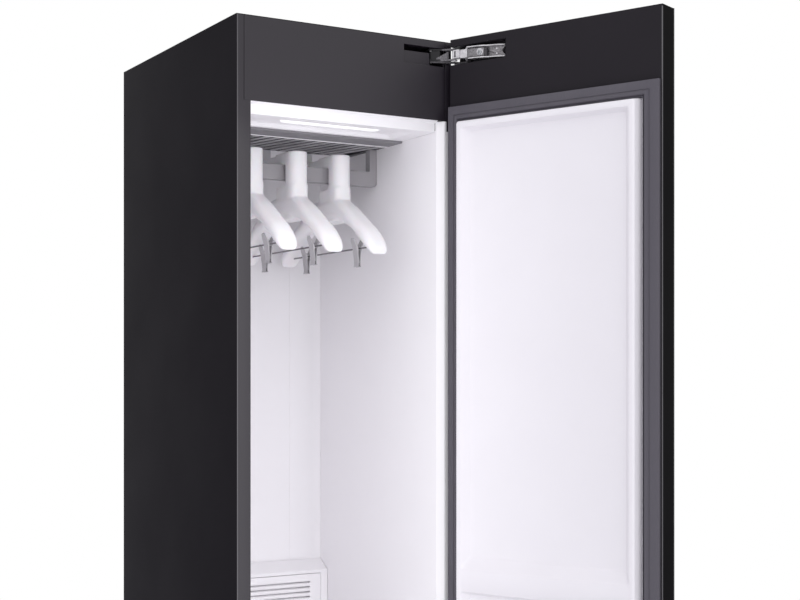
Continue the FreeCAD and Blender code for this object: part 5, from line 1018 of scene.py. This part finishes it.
def hinge_arm(base):
    """Nickel-plated arm: barrel on the pin, channel with drooping cheeks, notched tail."""
    low, high = base + 12.9, base + 28.9
    foot, crown = base + 9.0, base + 32.6
    middle = (foot + crown) / 2
    back, step, face = -312.7, -304.6, -299.7
    barrel = turned([(2.3, low), (3.6, low), (4.2, low + 0.6), (4.2, high - 0.6), (3.6, high), (2.3, high)],
                    (*HINGE_PIN, 0.0), "z", 28)
    neck = bar(rounded([(214.6, back, 1.0), (214.6, -306.0, 1.5), (209.0, step, 3.0), (186.0, step, 0.0),
                        (186.0, back, 0.0)], 4), low, high, "z")
    window = [(211.6, low + 2.4), (215.2, low + 2.4), (215.2, high - 2.4), (211.6, high - 2.4)]
    frame_plate = pierced(oblong(203.0, 217.6, low + 0.1, high - 0.1, 1.2, 3), [window],
                          -304.4, -301.0, "y")
    tail = rounded([(196.0, foot + 5.0, 2.0), (189.0, foot, 3.0), (112.0, foot, 3.0),
                    (103.2, foot + 1.0, 2.2), (112.5, middle, 3.0), (103.2, crown - 1.0, 2.2),
                    (112.0, crown, 3.0), (189.0, crown, 3.0), (196.0, crown - 5.0, 2.0)], 4)
    plate = bar(tail, back, back + 3.4, "y")
    cheek = rounded([(190.0, back, 0.0), (190.0, step, 2.0), (186.0, face - 1.0, 3.0), (172.0, face, 4.0),
                     (152.0, face, 4.0), (138.0, face - 3.4, 5.0), (116.0, face - 6.0, 4.0),
                     (106.0, back + 3.4, 2.0), (106.0, back, 0.0)], 3)
    cheeks = [bar(cheek, z, z + 2.4, "z") for z in (foot, crown - 2.4)]
    saddle = bar(rounded([(188.0, back, 0.0), (188.0, -303.6, 1.0), (149.0, -303.0, 1.2),
                          (149.0, back, 0.0)], 3), middle - 7.8, middle + 7.8, "z")
    ring = turned([(5.2, -303.2), (6.8, -303.2), (6.8, -301.9), (6.3, -301.4), (5.7, -301.4), (5.2, -301.9)],
                  (HINGE_SCREW_X, 0.0, middle), "y", 28)
    rivets = [turned([(0.3, -308.3), (1.5, -308.3), (1.9, -308.8), (1.9, -309.6), (0.3, -309.6)],
                     (123.5, 0.0, middle + rise), "y", 16) for rise in (-4.4, 4.4)]
    collar = block(186.4, 190.4, -309.0, -303.6, base + 7.8, base + 31.0)
    bright = joined([smoothed(part) for part in [barrel, ring] + rivets]
                    + [eased(part, 0.6) for part in [neck, frame_plate, collar] + cheeks])
    # tail plate and saddle take the darker copy of the plating: painted shade
    cast = joined([eased(part, 0.6) for part in (plate, saddle)])
    riser = block(183.0, 187.0, back, face, base + 3.5, foot + 2.0)
    return drooped(bright), drooped(cast), joined([eased(riser, 0.4), slotted_tab(base)])


def slotted_tab(base):
    """Blackened slotted tab under the arm that the link's far pin slides in."""
    play, width = 7.0, 3.3
    bearing = LINK_PIVOT_BEARING + 180.0 - LINK_PIN_TURN
    end, near = from_pin(LINK_PIN_REACH, bearing), from_pin(LINK_PIN_REACH - play, bearing)
    outline = oblong(183.0, end[0] + 4.8, end[1] - 4.8, -308.7, 1.5, 3)
    return pierced(outline, [capsule(near, end, width, 8)], base + 3.5, base + 6.0, "z")


def hinge_arms():
    bright, cast, dark = [], [], []
    seat = -302.4
    for base, seed in zip(HINGE_BASES.values(), (5, 6)):
        middle = base + 20.0 - (DROOP_FROM - 145.0) * DROOP
        plated, faces, tab = hinge_arm(base)
        bright.append(swung(plated))
        cast.append(swung(faces))
        # blackened steel filling the frame plate's window, the space beside the saddle and the seat round the
        # adjusting screw: painted shade in these openings; the slotted tab is real blackened steel
        shade = block(211.7, 215.1, -304.0, -301.2, base + 15.4, base + 26.4)
        gap_painted_shade = eased(block(142.0, 147.4, -309.6, -302.6, middle - 8.0, middle + 8.0), 0.4)
        well_painted_shade = turned([(0.4, -304.0), (5.3, -304.0), (5.3, seat), (0.4, seat)],
                      (HINGE_SCREW_X, 0.0, middle), "y", 24)
        dark += [swung(part) for part in (tab, shade, gap_painted_shade, well_painted_shade)]
        screws("hinge_screw_%d" % base, [(HINGE_SCREW_X, seat, middle)], 1.15, "door", seed)
    shown("hinge_arm_castings", joined(bright), "door", "nickel_plated_zinc", "chrome", "hinge_arms")
    shown("hinge_arm_beds", joined(cast), "door", "pitted_zinc_painted_shade", "chrome", "hinge_arms")
    shown("hinge_adjusters", joined(dark), "door", "black_oxide_steel", "dark_metal", "hinge_arms")


def leaf(start, end, radius, low, high, ease=0.5):
    """Flat bar with round ends, lying level."""
    return eased(bar(capsule(start, end, radius), low, high, "z"), ease)


def bracket_web(bend, base):
    """Cast web between the leaves, its top falling away from the pin."""
    web_edge, fall = 211.5, 0.62
    web = bar(capsule((bend[0] - 8.0, bend[1] + 4.2), (206.6, -294.0), 3.2), base + 9.0, base + 29.4, "z")
    for vertex in web.vertices:
        if vertex.co.z > (base + 20.0) * MM:
            vertex.co.z -= max(0.0, web_edge * MM - vertex.co.x) * fall
    return eased(web, 0.25)


def bracket_pins(pivot, base):
    """Loop, hinge pin and the two ends of the link's fixed pivot."""
    loop = [(*from_pin(5.4, 15.0 * k), base + 9.6) for k in range(-14, 6)]
    pins = [tube(loop, 0.6, 8)]
    for place, low, high, radius in ((HINGE_PIN, base + 9.2, base + 32.8, 2.2),
                                     (pivot, base + 5.6, base + 12.4, 2.0),
                                     (pivot, base + 28.0, base + 33.0, 2.6)):
        pins.append(turned([(radius * 0.5, low), (radius, low + 0.5), (radius, high - 0.5),
                            (radius * 0.5, high)], (*place, 0.0), "z", 20))
    return pins


def hinge_brackets():
    """Blackened base in the pocket: two leaves joined by a cast web, with a bright pin through them."""
    pivot = from_pin(LINK_PIVOT_REACH, LINK_PIVOT_BEARING)
    bend = (199.6, -287.1)
    mount, thick = FRONT + 30.0, 3.0
    castings, webs, pins = [], [], []
    for base in HINGE_BASES.values():
        for low in (base + 9.6, base + 29.2):
            castings += [leaf((pivot[0], mount), pivot, 5.0, low, low + thick),
                         leaf(pivot, bend, 4.2, low, low + thick)]
            webs.append(leaf(bend, HINGE_PIN, 4.2, low, low + thick))
        castings += [eased(block(pivot[0] - 5.0, pivot[0] + 5.0, mount, mount + 16.0, base + 9.6,
                                 base + 32.2), 0.8),
                     leaf((pivot[0] + 1.0, pivot[1] + 1.0), (bend[0] - 5.0, bend[1] + 2.5), 3.0,
                          base + 12.4, base + 29.4, 0.6)]
        webs.append(bracket_web(bend, base))
        pins += bracket_pins(pivot, base)
    for name, meshes, material in (("hinge_bracket_castings", castings, "cast_black_enamel"),
                                   ("hinge_bracket_wedges", webs, "phosphated_steel"),
                                   ("hinge_pins", pins, "nickel_plated_zinc")):
        mesh = joined(meshes)
        shown(name, smoothed(mesh) if meshes is pins else mesh, "cabinet", material, "chrome",
              "hinge_brackets")
    end = from_pin(LINK_PIN_REACH, LINK_PIVOT_BEARING + 180.0 + LINK_PIN_TURN)
    for level, base in HINGE_BASES.items():
        link = leaf(pivot, end, 4.0, base + 6.3, base + 9.3)
        rivet = turned([(1.0, base + 3.3), (2.0, base + 3.7), (2.0, base + 9.6), (1.2, base + 9.9)],
                       (*end, 0.0), "z", 20)
        body = level + "_hinge_link"
        shown(body + "_stamping", joined([link, rivet]), body, "black_oxide_steel", "dark_metal", body)


for side in (-1, 1):
    side_skin(side)
for piece_of in (rounded_nodes, door_frame, hanging_rail, lamp_lens, rear_screws, grille, hangers, clips,
                 gasket, door_liner, liner_lip, door_rim, hinge_arms, hinge_brackets):
    piece_of()
bpy.data.objects.remove(HEAD)


# ------------------------------------------------------------------ camera, light and floor
def aimed(item, place, along):
    item.location = place
    item.rotation_euler = Vector(along).to_track_quat("-Z", "Y").to_euler()


def camera():
    """Level view from the front left, with the frame raised by a small shift."""
    data = bpy.data.cameras.new("view")
    data.lens = 64.52
    data.shift_y = 0.0949
    eye = placed("view", data)
    aimed(eye, (-1.2536, -2.5786, 1.2170), (0.5107, 0.8598, 0.0))
    bpy.context.scene.camera = eye


def softbox(name, place, aim, width, height, watts):
    data = bpy.data.lights.new(name, "AREA")
    data.shape = "RECTANGLE"
    data.size = width
    data.size_y = height
    data.energy = watts
    aimed(placed(name, data), place, Vector(aim) - Vector(place))


def studio():
    """Pale even surroundings that the eye and mirrors see as white, and large softboxes."""
    world = bpy.data.worlds.new("studio")
    bpy.context.scene.world = world
    world.use_nodes = True
    tree = world.node_tree
    tree.nodes.clear()
    ray = add(tree, "ShaderNodeLightPath")
    mirrored = add(tree, "ShaderNodeMath", {0: ray.outputs["Is Glossy Ray"],
                                            1: ray.outputs["Is Transmission Ray"]}, operation="MAXIMUM")
    seen = add(tree, "ShaderNodeMath", {0: ray.outputs["Is Camera Ray"], 1: mirrored.outputs[0]},
               operation="MAXIMUM")
    lit = add(tree, "ShaderNodeBackground", {"Color": linear("f7f7fa"), "Strength": 1.12})
    white = add(tree, "ShaderNodeBackground", {"Color": (1.0, 1.0, 1.0, 1.0), "Strength": 1.0})
    mix = add(tree, "ShaderNodeMixShader", {"Fac": seen.outputs[0], 1: lit.outputs[0], 2: white.outputs[0]})
    add(tree, "ShaderNodeOutputWorld", {"Surface": mix.outputs[0]})
    softbox("front_softbox", (-0.6, -4.2, 1.7), (0.0, 0.0, 1.2), 2.6, 2.6, 9.0)
    softbox("cavity_fill", (-0.13, -0.45, 1.06), (0.12, 0.0, 1.06), 0.24, 1.24, 0.72)
    softbox("high_softbox", (-0.4, -2.6, 3.9), (0.0, 0.0, 1.4), 2.5, 2.0, 4.0)


def floor():
    """Pale floor that fades into the white surroundings away from the object and keeps its shadow."""
    reach = 14.0
    mesh = bpy.data.meshes.new("studio_floor")
    mesh.from_pydata([(-reach, -reach, 0), (reach, -reach, 0), (reach, reach, 0), (-reach, reach, 0)], [],
                     [(0, 1, 2, 3)])
    finish("pale_studio_floor", "f6f6f8", "f3f3f5", 0.85, 3.0, 0.0, spread=0.02)
    tree = MATERIAL["pale_studio_floor"].node_tree
    ray = add(tree, "ShaderNodeLightPath")
    source = add(tree, "ShaderNodeTexCoord")
    away = add(tree, "ShaderNodeVectorMath", {0: source.outputs["Object"]}, operation="LENGTH")
    share = add(tree, "ShaderNodeMapRange", {"Value": away.outputs["Value"], "From Min": 0.7, "From Max": 3.2,
                                             "To Min": 0.25, "To Max": 1.0})
    seen = add(tree, "ShaderNodeMath", {0: ray.outputs["Is Camera Ray"], 1: share.outputs["Result"]},
               operation="MULTIPLY")
    white = add(tree, "ShaderNodeEmission", {"Color": (1.0, 1.0, 1.0, 1.0), "Strength": 1.0})
    mix = add(tree, "ShaderNodeMixShader", {"Fac": seen.outputs[0],
                                            1: tree.nodes["Principled BSDF"].outputs[0],
                                            2: white.outputs[0]})
    tree.links.new(mix.outputs[0], tree.nodes["Material Output"].inputs["Surface"])
    mesh.materials.append(MATERIAL["pale_studio_floor"])
    placed("studio_floor", mesh)


camera()
studio()
floor()
bpy.context.scene.view_settings.view_transform = "Standard"
